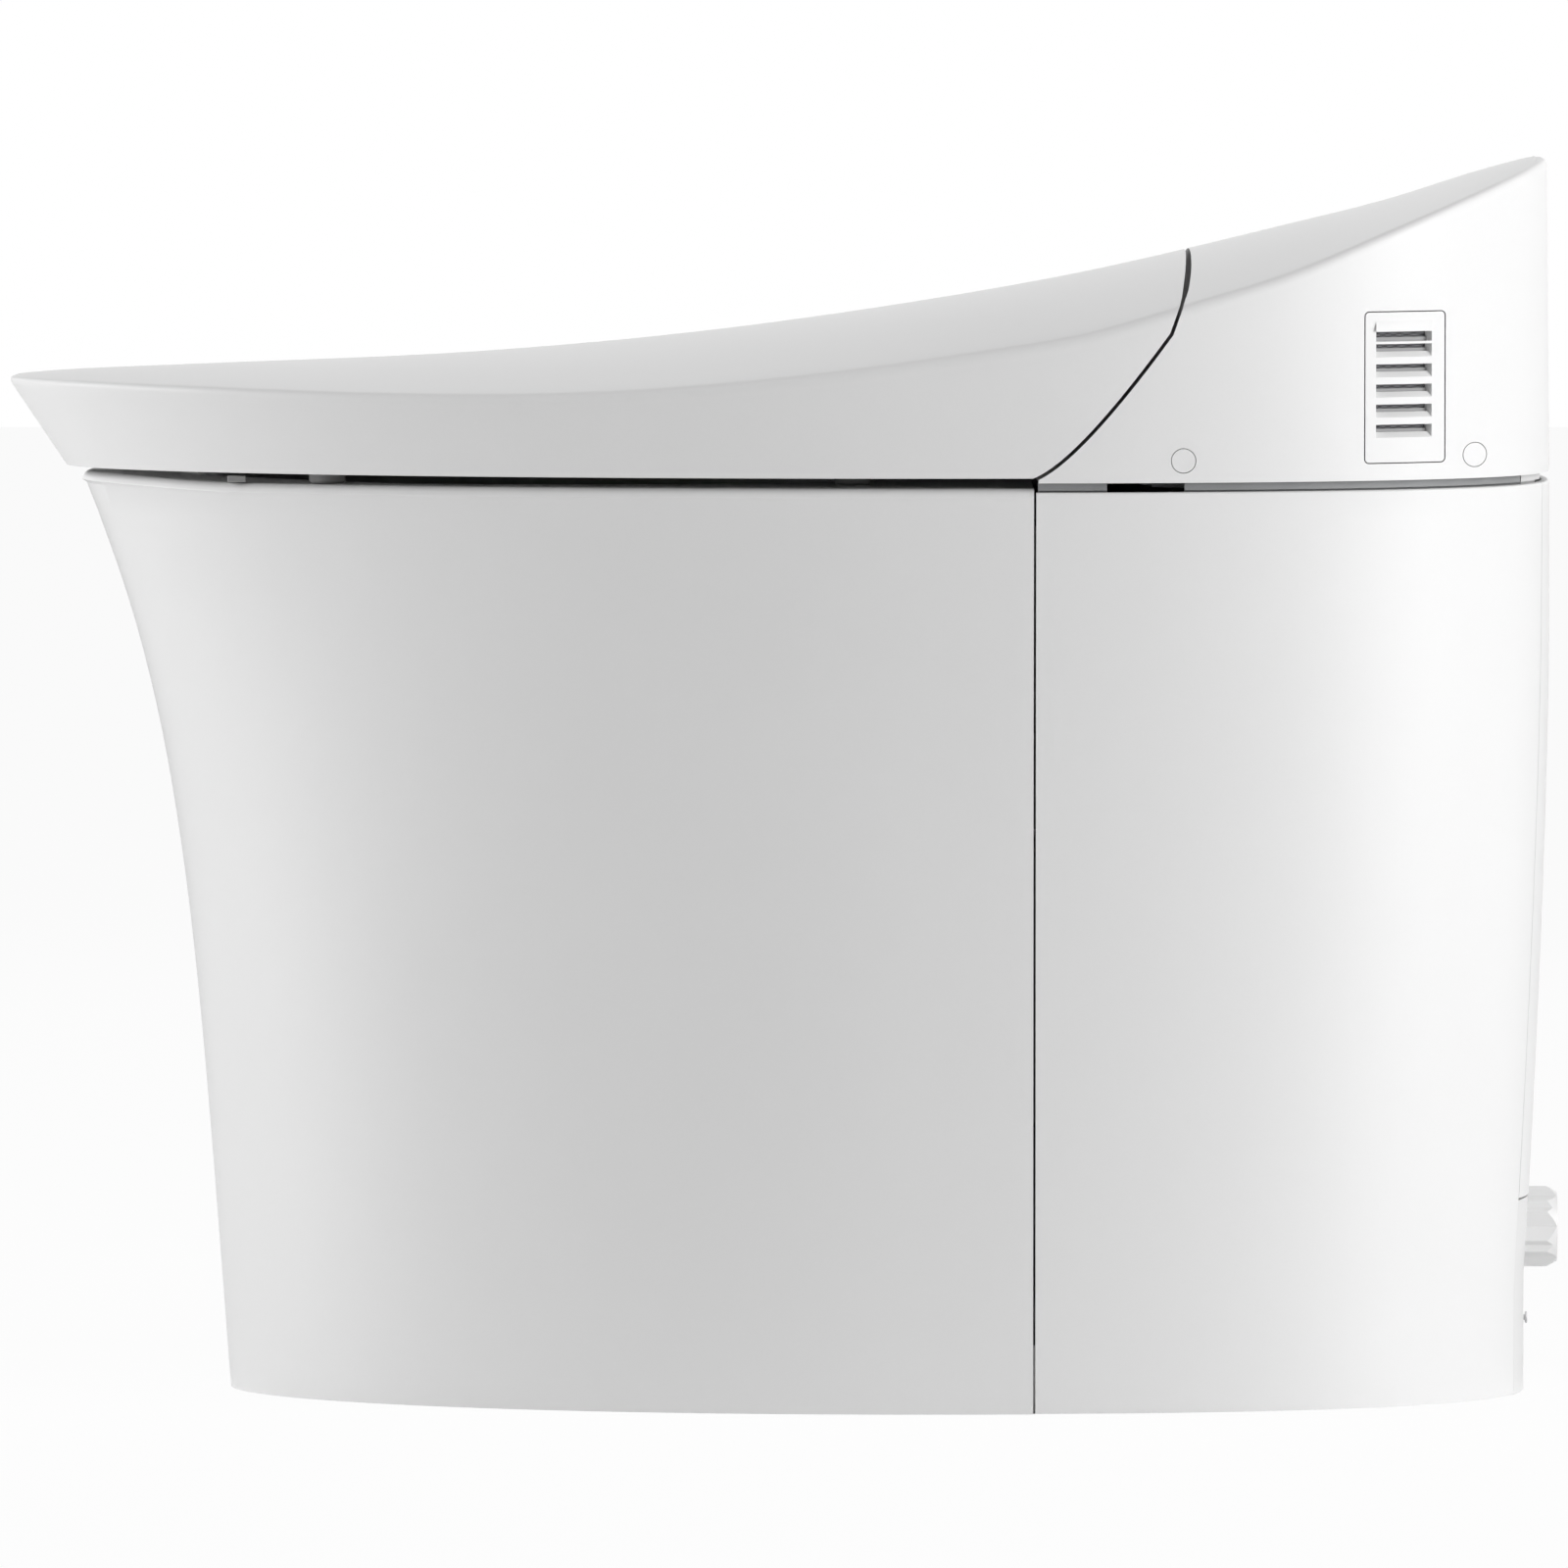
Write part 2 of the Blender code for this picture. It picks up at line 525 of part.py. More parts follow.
def ceramic_base(made):
    """The one-piece casting: skirt, rim, bowl, trapway, foot and rear bulkhead."""
    wide = RIM_HALF_WIDTH + OVERRUN
    far_y = REAR_FACE_Y + OVERRUN
    body = body_form("ceramic_base", 0, RIM_Z, 0, made, edge=RIM_EDGE)
    cut(body, block("rear_cut", (-wide, BODY_REAR_Y, -OVERRUN), (wide, far_y, RIM_Z + OVERRUN), made))
    hollow = body_form("hollow", -OVERRUN, RIM_Z - RIM_DEPTH, CERAMIC_WALL, made, HOLLOW_STEPS,
                       levels=HOLLOW_RISE_SHARES)
    cut(hollow, block("back", (-wide, BODY_REAR_Y - CERAMIC_WALL, -2 * OVERRUN), (wide, far_y, RIM_Z),
                      made))
    cut(hollow, bowl_form("bowl_keep", BOWL_WALL, RIM_Z - RIM_DEPTH / 2, made))
    route = curve_through(TRAP_ROUTE)
    cut(hollow, pipe("trap_keep", route[2:] + [(OUTLET_Y, -OVERRUN)], TRAP_BORE + TRAP_WALL, made))
    cut(body, hollow)
    foot = body_form("foot", 0, FOOT_HEIGHT, PANEL_WALL + FIT, made, levels=(0, 1))
    cut(foot, block("foot_front", (-wide, -wide * 2, -OVERRUN),
                    (wide, BODY_REAR_Y - CERAMIC_WALL / 2, RIM_Z), made))
    join(body, foot)
    inner = STRIP_HALF_WIDTH - PANEL_GAP
    rear_top = STRIP_BOTTOM_Z - PANEL_GAP
    upstand = body_form("upstand", 0, rear_top, FIT, made, levels=HOLLOW_RISE_SHARES)
    join(body, keep(upstand, block("upstand_slice", (-inner, BULKHEAD_REAR_Y, -OVERRUN),
                                   (inner, far_y, rear_top + OVERRUN), made)))
    front = BULKHEAD_REAR_Y - BULKHEAD_DEPTH
    bulkhead = body_form("bulkhead", FOOT_HEIGHT / 2, DECK_SEAT_Z, PANEL_WALL + 2 * FIT, made)
    join(body, keep(bulkhead, block("slice", (-wide, front, 0), (wide, BULKHEAD_REAR_Y + FIT, RIM_Z),
                                    made)))
    ledge_z = DECK_SEAT_Z - LEDGE_HEIGHT
    join(body, block("ledge", (-LEDGE_HALF_WIDTH, BODY_REAR_Y - CERAMIC_WALL / 2, ledge_z),
                     (LEDGE_HALF_WIDTH, BODY_REAR_Y + LEDGE_DEPTH, DECK_SEAT_Z), made))
    cut(body, block("window", (-WINDOW_HALF_WIDTH, front - OVERRUN, WINDOW_LOW_Z),
                    (WINDOW_HALF_WIDTH, BULKHEAD_REAR_Y + OVERRUN, WINDOW_HIGH_Z), made))
    tail = [p for p in route if p[0] > BODY_REAR_Y - CERAMIC_WALL]
    join(body, pipe("trap_rear", tail, TRAP_BORE + TRAP_WALL + FIT, made))
    join(body, rod("horn", (0, OUTLET_Y, 0), (0, OUTLET_Y, HORN_HEIGHT), HORN_RADIUS, made))
    cut(body, bowl_form("bowl", 0, RIM_Z + FIT, made))
    last = [pipe("trap_bore", route + [(OUTLET_Y, -OVERRUN)], TRAP_BORE, made),
            rod("gasket_seat", (0, OUTLET_Y, -OVERRUN), (0, OUTLET_Y, GASKET_HEIGHT + FIT),
                GASKET_RADIUS + FIT, made),
            wand_rod("wand_way", -WAND_TRAVEL - OVERRUN, WAND_LENGTH / 2, WAND_RADIUS + WAND_WAY, made),
            block("wand_notch", (-NOTCH_HALF_WIDTH, BOWL_REAR_Y - OVERRUN, WAND_TIP_Z - 2 * WAND_RADIUS),
                  (NOTCH_HALF_WIDTH, BODY_REAR_Y + LEDGE_DEPTH + FIT, RIM_Z + OVERRUN), made),
            rod("inlet_hole", (INLET_X, front - OVERRUN, INLET_Z), (INLET_X, far_y, INLET_Z),
                INLET_BORE + FIT, made),
            rod("screw_hole", (SCREW_X, FLOOR_REAR_Y - SCREW_LENGTH, SCREW_Z), (SCREW_X, far_y, SCREW_Z),
                SCREW_RADIUS + FIT, made, steps=PIN_STEPS)]
    for side in (-1, 1):
        x = side * BOLT_X
        last.append(rod("bolt_hole", (x, BOLT_Y, -OVERRUN), (x, BOLT_Y, FOOT_HEIGHT + OVERRUN),
                        BOLT_RADIUS + FIT, made, steps=PIN_STEPS))
    cut(body, *last)
    return body


def base_hardware(rubber, steel):
    """The outlet gasket, the floor bolts and the screw at the rear foot."""
    gasket = rod("outlet_gasket", (0, OUTLET_Y, FIT), (0, OUTLET_Y, GASKET_HEIGHT), GASKET_RADIUS, rubber,
                 FIT)
    cut(gasket, rod("bore", (0, OUTLET_Y, -OVERRUN), (0, OUTLET_Y, OVERRUN), TRAP_BORE, rubber))
    base = FOOT_HEIGHT + FIT
    for side, word in ((-1, "left"), (1, "right")):
        x = side * BOLT_X
        bolt = rod("floor_bolt_" + word, (x, BOLT_Y, FIT), (x, BOLT_Y, base + FIT), BOLT_RADIUS, steel,
                   steps=PIN_STEPS)
        join(bolt, rod("washer", (x, BOLT_Y, base), (x, BOLT_Y, base + BOLT_RADIUS / 2),
                       BOLT_HEAD_RADIUS * BOLT_WASHER_SHARE, steel, steps=BAR_STEPS),
             rod("head", (x, BOLT_Y, base + BOLT_RADIUS / 4), (x, BOLT_Y, base + BOLT_HEAD_HEIGHT),
                 BOLT_HEAD_RADIUS, steel, steps=HEX_STEPS))
    face = FLOOR_REAR_Y
    screw = rod("foot_screw", (SCREW_X, face - SCREW_LENGTH + FIT, SCREW_Z),
                (SCREW_X, face + FIT * 2, SCREW_Z), SCREW_RADIUS, steel, steps=PIN_STEPS)
    join(screw, rod("head", (SCREW_X, face + FIT, SCREW_Z), (SCREW_X, face + SCREW_HEAD_HEIGHT, SCREW_Z),
                    SCREW_HEAD_RADIUS, steel, FIT, BAR_STEPS))


def side_panel(word, side, made):
    """One moulded rear side panel, wrapping from the body seam round to the rear strip."""
    low = FIT
    wide = RIM_HALF_WIDTH + OVERRUN
    far = REAR_FACE_Y + OVERRUN
    panel = body_form("side_panel_" + word, low, PANEL_TOP_Z, 0, made, edge=PANEL_GAP)
    cut(panel, body_form("inside", low - OVERRUN, PANEL_TOP_Z + OVERRUN, PANEL_WALL, made,
                         levels=HOLLOW_RISE_SHARES))
    edges = sorted((side * (STRIP_HALF_WIDTH + PANEL_GAP / 2), side * wide))
    return keep(panel, block("half", (edges[0], BODY_REAR_Y + PANEL_GAP, -OVERRUN),
                             (edges[1], far, RIM_Z + OVERRUN), made))


def rear_strip(made):
    """The cover between the side panels at the back, with two standoffs to the bulkhead."""
    half = STRIP_HALF_WIDTH - PANEL_GAP / 2
    strip = body_form("rear_strip", STRIP_BOTTOM_Z, PANEL_TOP_Z, 0, made, edge=PANEL_GAP)
    cut(strip, body_form("inside", STRIP_BOTTOM_Z - OVERRUN, PANEL_TOP_Z + OVERRUN, PANEL_WALL, made,
                         levels=HOLLOW_RISE_SHARES))
    keep(strip, block("middle", (-half, BULKHEAD_REAR_Y, 0), (half, REAR_FACE_Y + OVERRUN, RIM_Z), made))
    middle_z = (WINDOW_HIGH_Z + DECK_SEAT_Z) / 2
    for side in (-1, 1):
        x = side * half / 2
        join(strip, rod("standoff", (x, BULKHEAD_REAR_Y + 2 * FIT, middle_z),
                        (x, REAR_FACE_Y - PANEL_WALL / 2, middle_z), 2 * PANEL_WALL, made, steps=PIN_STEPS))
    return strip


DECK_INSET = PANEL_WALL + PANEL_GAP + FIT
LIP_DEPTH = 0.004
LIP_NECK = 0.0022
LIP_HEIGHT = 0.0075
DECK_FRONT_Y = BODY_REAR_Y + PANEL_GAP
LIP_GRIP = HOUSING_WALL + PANEL_GAP - FIT / 2
DECK_NOTCH_HALF_WIDTH = 0.0147


def chassis_deck(made):
    """The moulded deck on the ceramic, with the lip that locates the housing."""
    wide = RIM_HALF_WIDTH + OVERRUN
    low = DECK_SEAT_Z + FIT
    deck = body_form("chassis_deck", low, DECK_TOP_Z, DECK_INSET, made, levels=(0, 1))
    grip = LIP_GRIP
    neck_top = PANEL_TOP_Z + PANEL_GAP / 2
    lip_levels = [plan_ring(CAP_HALF_WIDTH, CAP_FRONT_Y, REAR_FACE_Y, z, inset)
                  for z, inset in ((DECK_TOP_Z - FIT, grip + LIP_NECK), (neck_top, grip + LIP_NECK),
                                   (neck_top + FIT, grip), (DECK_TOP_Z + LIP_HEIGHT, grip))]
    lip = loft("lip", lip_levels, made)
    inner = [plan_ring(CAP_HALF_WIDTH, CAP_FRONT_Y, REAR_FACE_Y, z, grip + LIP_NECK + LIP_DEPTH)
             for z in (DECK_TOP_Z - OVERRUN, DECK_TOP_Z + OVERRUN)]
    cut(lip, loft("lip_inside", inner, made))
    cut(lip, block("lip_front", (-wide, -wide * 2, 0),
                   (wide, SEAM_FOOT_Y + LEDGE_DEPTH + OVERRUN / 2, PEAK_Z), made))
    join(deck, lip)
    cut(deck, block("front", (-wide, -wide * 2, 0), (wide, DECK_FRONT_Y, PEAK_Z), made))
    back_y = wand_point(2 * NOTCH_HALF_WIDTH + WAND_RADIUS)[0]
    cut(deck, block("wand_notch", (-DECK_NOTCH_HALF_WIDTH, 0, 0), (DECK_NOTCH_HALF_WIDTH, back_y, PEAK_Z),
                    made))
    return deck


# Lid hinge, seat and its hinges
LUG_X = 0.060
LUG_HALF = 0.005
LUG_RADIUS = 0.0060
LUG_REACH = 0.042
PIN_RADIUS = 0.0028
BARREL_RADIUS = 0.0040
LEG_X = 0.040
LEG_HALF = 0.005
LEG_HALF_DEPTH = 0.0042
SEAT_INSET = 0.012
SEAT_HALF_WIDTH = CAP_HALF_WIDTH - SEAT_INSET
SEAT_FRONT_INSET = 0.0134
SEAT_FRONT_Y = CAP_FRONT_Y + SEAT_FRONT_INSET
SEAT_REAR_Y = 0.0980
SEAT_LIFT = 0.0031
SEAT_BOTTOM_Z = LID_BOTTOM_Z + SEAT_LIFT
SEAT_THICK = 0.0175
SEAT_EDGE = 0.006
SEAT_HOLE_HALF_WIDTH = 0.108
SEAT_HOLE_FRONT_Y = -0.2350
SEAT_HOLE_REAR_Y = 0.0400
SEAT_HOLE_STEPS = 40
SEAT_EAR_X = 0.093
SEAT_EAR_HALF = 0.007
SEAT_EAR_RADIUS = 0.0085
SEAT_EAR_RISE = 0.0068
POST_HALF = 0.005
POST_X = SEAT_EAR_X + SEAT_EAR_HALF + RUNNING + POST_HALF
BUMPER_RADIUS = 0.0080
# Across as shares of the seat's half width, and along as shares of its reach to the front
BUMPER_PLACE_SHARES = ((2 / 3, -25 / 38), (0.78125, 0.098684))
LID_BUMPER_Y = -0.240
LID_BUMPER_SHARE = 0.57598
LID_BUMPER_X = LID_BUMPER_SHARE * CAP_HALF_WIDTH
LID_BUMPER_HALF = 0.0040

# Housing side details
PLUG_PLACES = ((0.1738, LID_BOTTOM_Z + 0.0086), (0.3025, LID_BOTTOM_Z + 0.0093))
PLUG_RADIUS = 0.0052
PLUG_DEPTH = 0.0090
BOSS_RADIUS = 0.0085
BOSS_DEPTH = 0.0150
COVER_LOW_Y = 0.2530
COVER_HIGH_Y = 0.2892
COVER_LIFT = 0.0055
COVER_HEIGHT = 0.0664
COVER_LOW_Z = LID_BOTTOM_Z + COVER_LIFT
COVER_HIGH_Z = COVER_LOW_Z + COVER_HEIGHT
COVER_GAP = 0.0005
LOUVRE_MARGIN_Y = 0.0052
LOUVRE_COUNT = 6
LOUVRE_PITCH = 0.0087
LOUVRE_HEIGHT = 0.0055
LOUVRE_DROP = 0.0058
LOUVRE_TOP_Z = COVER_HIGH_Z - LOUVRE_DROP
LOUVRE_STEPS = 4
LOUVRE_TILT = math.radians(35)
SLEEVE_WALL = 0.0020
SLEEVE_DEPTH = 0.0560
FILTER_DEPTH = 0.0300
INNER_STEPS = (24, 8)


def cap_wall_x(y, z, inset=0.0):
    """How far out the side wall of the cap stands at a place on its side."""
    low, high = math.pi / 2, math.pi
    for _ in range(40):
        angle = (low + high) / 2
        foot = plan_point(angle, CAP_HALF_WIDTH, CAP_FRONT_Y, REAR_FACE_Y, inset)
        edge = plan_point(angle, CREASE_HALF_WIDTH, CREASE_FRONT_Y, CREASE_REAR_Y, inset)
        share = (z - LID_BOTTOM_Z) / (cap_heights(edge[1])[0] - LID_BOTTOM_Z)
        if foot[1] + (edge[1] - foot[1]) * share < y:
            low = angle
        else:
            high = angle
    return foot[0] + (edge[0] - foot[0]) * share


def lid(made):
    """The hollow lid, with two hinge lugs under its rear edge."""
    shell = cap_form("lid", LID_BOTTOM_Z, 0, made)
    keep(shell, lid_space("front_space", 0, made))
    cut(shell, cap_form("inside", LID_BOTTOM_Z - OVERRUN, LID_WALL, made, *INNER_STEPS))
    for side in (-1, 1):
        ends = sorted((side * (LUG_X - LUG_HALF), side * (LUG_X + LUG_HALF)))
        front_y = LID_AXIS_Y - LUG_REACH
        top = cap_surface(LUG_X, LID_AXIS_Y, CREASE_HALF_WIDTH) - LID_WALL / 2
        front_top = cap_surface(LUG_X, front_y, CREASE_HALF_WIDTH) - LID_WALL / 2
        lug = prism("web", ((front_y, front_top - LUG_RADIUS), (front_y, front_top), (LID_AXIS_Y, top),
                            (LID_AXIS_Y, LID_AXIS_Z - LUG_RADIUS)), *ends, made)
        join(lug, cross_rod("eye", *ends, LID_AXIS, LUG_RADIUS, made, BAR_STEPS))
        join(shell, lug)
        cut(shell, cross_rod("pin_hole", ends[0] - OVERRUN, ends[1] + OVERRUN, LID_AXIS, PIN_RADIUS + FIT,
                             made, PIN_STEPS))
    return moved_origin(shell, (0, *LID_AXIS))


def moved_origin(item, origin):
    """Give an object its origin on a joint's axis, its mesh staying in place."""
    item.data.transform(Matrix.Translation(-Vector(origin)))
    item.location = origin
    return item


def lid_hinge(made):
    """The hinge barrel and pins on their two legs, standing on the deck and through the housing."""
    barrel_half = LUG_X - LUG_HALF - RUNNING
    pin_half = LUG_X + LUG_HALF
    barrel = cross_rod("lid_hinge_bracket", -barrel_half, barrel_half, LID_AXIS, BARREL_RADIUS, made,
                       BAR_STEPS)
    join(barrel, cross_rod("pin", -pin_half, pin_half, LID_AXIS, PIN_RADIUS, made, PIN_STEPS))
    low = DECK_TOP_Z + FIT
    for side in (-1, 1):
        x = side * LEG_X
        join(barrel, block("leg", (x - LEG_HALF, LID_AXIS_Y - LEG_HALF_DEPTH, low),
                           (x + LEG_HALF, LID_AXIS_Y + LEG_HALF_DEPTH, LID_AXIS_Z), made))
        join(barrel, block("foot", (x - LEG_HALF * 2, LID_AXIS_Y - LEG_HALF_DEPTH, low),
                           (x + LEG_HALF * 2, LID_AXIS_Y + LEG_HALF_DEPTH * 4, low + HOUSING_WALL), made))
    return barrel


def seat_parts(made, rubber, pin_made):
    """The seat ring with its ears, its four bumpers and the two posts that carry it."""
    origin = (0, *SEAT_AXIS)
    top = SEAT_BOTTOM_Z + SEAT_THICK
    bend = SEAT_EDGE * (1 - math.sqrt(0.5))
    outer = ((SEAT_BOTTOM_Z, bend), (SEAT_BOTTOM_Z + bend, 0), (top - SEAT_EDGE, 0),
             (top - bend, bend), (top, SEAT_EDGE))
    rings = [plan_ring(SEAT_HALF_WIDTH, SEAT_FRONT_Y, REAR_FACE_Y, z, inset) for z, inset in outer]
    ring = loft("seat_ring", rings, made)
    wide = SEAT_HALF_WIDTH + OVERRUN
    cut(ring, block("rear", (-wide, SEAT_REAR_Y, 0), (wide, REAR_FACE_Y + OVERRUN, PEAK_Z), made))
    middle = (SEAT_HOLE_FRONT_Y + SEAT_HOLE_REAR_Y) / 2
    half_length = (SEAT_HOLE_REAR_Y - SEAT_HOLE_FRONT_Y) / 2
    hole = []
    rims = ((SEAT_BOTTOM_Z - OVERRUN, SEAT_EDGE), (SEAT_BOTTOM_Z, bend), (SEAT_BOTTOM_Z + SEAT_EDGE, 0),
            (top - 2 * SEAT_EDGE, bend), (top - SEAT_EDGE / 2, SEAT_EDGE), (top + FIT, 2 * SEAT_EDGE))
    for z, grow in rims:
        angles = [math.tau * k / SEAT_HOLE_STEPS for k in range(SEAT_HOLE_STEPS)]
        hole.append([((SEAT_HOLE_HALF_WIDTH + grow) * math.sin(a),
                      middle - (half_length + grow) * math.cos(a), z) for a in angles])
    cut(ring, loft("hole", hole, made))
    post_low = DECK_TOP_Z + FIT
    for side, word in ((-1, "left"), (1, "right")):
        ends = sorted((side * (SEAT_EAR_X - SEAT_EAR_HALF), side * (SEAT_EAR_X + SEAT_EAR_HALF)))
        ear = block("ear", (ends[0], SEAT_REAR_Y - OVERRUN, SEAT_BOTTOM_Z + SEAT_EDGE),
                    (ends[1], SEAT_AXIS_Y, SEAT_AXIS_Z + SEAT_EAR_RISE), made)
        join(ear, cross_rod("eye", *ends, SEAT_AXIS, SEAT_EAR_RADIUS, made, BAR_STEPS))
        join(ring, ear)
        cut(ring, cross_rod("pin_hole", ends[0] - OVERRUN, ends[1] + OVERRUN, SEAT_AXIS, PIN_RADIUS + FIT,
                            made, PIN_STEPS))
        post_x = side * POST_X
        post = block("seat_hinge_post_" + word, (post_x - POST_HALF, SEAT_AXIS_Y - FIT, post_low),
                     (post_x + POST_HALF, SEAT_AXIS_Y + 2 * POST_HALF, SEAT_AXIS_Z + POST_HALF),
                     pin_made, FIT)
        join(post, cross_rod("eye", post_x - POST_HALF, post_x + POST_HALF, SEAT_AXIS, POST_HALF,
                             pin_made, BAR_STEPS),
             cross_rod("pin", side * (SEAT_EAR_X - SEAT_EAR_HALF), post_x, SEAT_AXIS, PIN_RADIUS,
                       pin_made, PIN_STEPS))
        for place, (across, along) in zip(("front", "rear"), BUMPER_PLACE_SHARES):
            x, y = across * SEAT_HALF_WIDTH, -along * SEAT_FRONT_Y
            bumper = rod("seat_bumper_%s_%s" % (word, place), (side * x, y, RIM_Z + FIT),
                         (side * x, y, SEAT_BOTTOM_Z - FIT), BUMPER_RADIUS, rubber, FIT * 3, BAR_STEPS)
            moved_origin(bumper, origin)
        x = side * LID_BUMPER_X
        stop = block("lid_bumper_" + word,
                     (x - LID_BUMPER_HALF, LID_BUMPER_Y - LID_BUMPER_HALF, RIM_Z + FIT),
                     (x + LID_BUMPER_HALF, LID_BUMPER_Y + LID_BUMPER_HALF, LID_BOTTOM_Z - FIT), rubber, FIT)
        moved_origin(stop, (0, *LID_AXIS))
    return moved_origin(ring, origin)


def housing_pocket(name, grow, low_x, high_x, made):
    """The rectangular room behind the filter cover, grown by a wall."""
    return block(name, (low_x, COVER_LOW_Y - grow, COVER_LOW_Z - grow),
                 (high_x, COVER_HIGH_Y + grow, COVER_HIGH_Z + grow), made)


def sleeve_ends():
    """Inner and outer X of the filter sleeve."""
    outer = cap_wall_x(COVER_LOW_Y, (COVER_LOW_Z + COVER_HIGH_Z) / 2)
    return outer - SLEEVE_DEPTH, outer + OVERRUN


def rear_housing(made):
    """The rear shell, with the filter sleeve, screw bosses, wand port and hinge slots."""
    shell = cap_form("rear_housing", HOUSING_BOTTOM_Z, 0, made)
    cut(shell, lid_space("front_space", SEAM_GAP, made))
    inside = cap_form("inside", HOUSING_BOTTOM_Z - OVERRUN, HOUSING_WALL, made, *INNER_STEPS)
    cut(inside, lid_space("front_wall", SEAM_GAP + HOUSING_WALL, made))
    cut(shell, inside)
    inner_x, outer_x = sleeve_ends()
    sleeve = housing_pocket("sleeve", SLEEVE_WALL, inner_x, outer_x, made)
    keep(sleeve, cap_form("trim", LID_BOTTOM_Z - OVERRUN, HOUSING_WALL / 2, made, *INNER_STEPS))
    join(shell, sleeve)
    cut(shell, housing_pocket("room", 0, inner_x - OVERRUN, outer_x, made))
    for side in (-1, 1):
        for y, z in PLUG_PLACES:
            face = cap_wall_x(y, z)
            boss = cross_rod("boss", side * (face - BOSS_DEPTH), side * face, (y, z), BOSS_RADIUS, made,
                             BAR_STEPS)
            join(shell, keep(boss, cap_form("trim", LID_BOTTOM_Z - OVERRUN, HOUSING_WALL / 2, made,
                                            *INNER_STEPS)))
            cut(shell, cross_rod("plug_seat", side * (face - PLUG_DEPTH - FIT), side * (face + OVERRUN),
                                 (y, z), PLUG_RADIUS + FIT, made))
        x = side * LEG_X
        half_depth = LEG_HALF_DEPTH + FIT
        cut(shell, block("leg_slot", (x - LEG_HALF - FIT, LID_AXIS_Y - half_depth, HOUSING_BOTTOM_Z),
                         (x + LEG_HALF + FIT, LID_AXIS_Y + half_depth, LID_AXIS_Z), made))
        post_x = side * POST_X
        post_rear = SEAT_AXIS_Y + 2 * POST_HALF + FIT
        cut(shell, block("post_slot", (post_x - POST_HALF - FIT, SEAT_AXIS_Y - FIT - POST_HALF, 0),
                         (post_x + POST_HALF + FIT, post_rear, SEAT_AXIS_Z + 2 * POST_HALF), made))
    cut(shell, wand_rod("wand_port", -OVERRUN, WAND_LENGTH / 2, GUIDE_RADIUS + 2 * FIT, made))
    return shell


def screw_plugs(made):
    """The four round caps over the housing screws."""
    for side, word in ((-1, "left"), (1, "right")):
        for place, (y, z) in zip(("front", "rear"), PLUG_PLACES):
            face = cap_wall_x(y, z)
            plug = cross_rod("screw_plug_%s_%s" % (word, place), side * (face - PLUG_DEPTH),
                             side * (face + OVERRUN), (y, z), PLUG_RADIUS, made)
            keep(plug, cap_form("trim", LID_BOTTOM_Z - OVERRUN, 0, made))


def filter_unit(made, carbon):
    """The louvred cover and the carbon block behind it, which draw out sideways together."""
    cover = cap_form("filter_cover", LID_BOTTOM_Z - OVERRUN, 0, made)
    keep(cover, housing_pocket("edge", -COVER_GAP, 0, RIM_HALF_WIDTH + OVERRUN, made))
    reach = cap_wall_x(COVER_HIGH_Y, COVER_LOW_Z) - 2 * HOUSING_WALL
    cut(cover, block("back", (-OVERRUN, 0, 0), (reach, REAR_FACE_Y, PEAK_Z), made))
    low_y = COVER_LOW_Y + LOUVRE_MARGIN_Y
    high_y = COVER_HIGH_Y - LOUVRE_MARGIN_Y
    lean = math.tan(LOUVRE_TILT)
    for k in range(LOUVRE_COUNT):
        z = LOUVRE_TOP_Z - k * LOUVRE_PITCH
        rings = []
        for j in range(LOUVRE_STEPS + 1):
            y = low_y + (high_y - low_y) * j / LOUVRE_STEPS
            face = cap_wall_x(y, z)
            high_z = z + (face - reach) * lean
            low_z = z - OVERRUN * lean
            upper = [(reach - FIT, y, high_z), (face + OVERRUN, y, low_z)]
            rings.append(upper + [(x, y, height - LOUVRE_HEIGHT) for x, y, height in reversed(upper)])
        cut(cover, loft("slot", rings, made))
    carbon_high = reach - FIT
    filling = housing_pocket("carbon_filter", -COVER_GAP * 2, carbon_high - FILTER_DEPTH, carbon_high,
                             carbon)
    return cover, filling


# Spray wand and its drive
NOZZLE_LENGTH = 0.012
GUIDE_RADIUS = 0.0130
GUIDE_START = 0.036
GUIDE_END = 0.150
ROLLER_RADIUS = 0.0080
ROLLER_ALONG = 0.078
ROLLER_HALF = 0.006
MOTOR_RADIUS = 0.010
MOTOR_LENGTH = 0.016
GUIDE_LEG_HALF = 0.006

# Fans
FAN_RADIUS = 0.0240
FAN_HALF = 0.009
FAN_X = 0.070
FAN_WALL = 0.003
FAN_BLADES = 9
DRYER_X = -0.118
DRYER_Y = 0.222
DRYER_RADIUS = 0.0260
DRYER_HALF = 0.010
HUB_RADIUS = 0.007
SHAFT_RADIUS = 0.0020

# Boxes inside, as (x, y) low and high corners, and heights
HEATER_LOW = (-0.080, 0.196)
HEATER_HIGH = (-0.037, 0.266)
HEATER_HEIGHT = 0.052
MANIFOLD_LOW = (0.024, 0.192)
MANIFOLD_HIGH = (0.050, 0.240)
MANIFOLD_HEIGHT = 0.036
CONTROL_LOW = (-0.078, 0.284)
CONTROL_HIGH = (0.052, 0.312)
CONTROL_HEIGHT = 0.070
DRIVE_LOW = (-0.0330, 0.188)
DRIVE_HIGH = (-0.0160, 0.226)
DRIVE_HEIGHT = 0.030
TANK_LOW = (-0.106, 0.134)
TANK_HIGH = (-0.050, 0.286)
TANK_HEADROOM = 0.038
TANK_HEIGHT = DECK_SEAT_Z - FOOT_HEIGHT - TANK_HEADROOM
SUPPLY_LOW = (0.048, 0.140)
SUPPLY_HIGH = (0.112, 0.280)
SUPPLY_HEIGHT = 0.085
PUMP_X = 0.078
PUMP_Y = 0.236
PUMP_PORT_REACH = 0.048
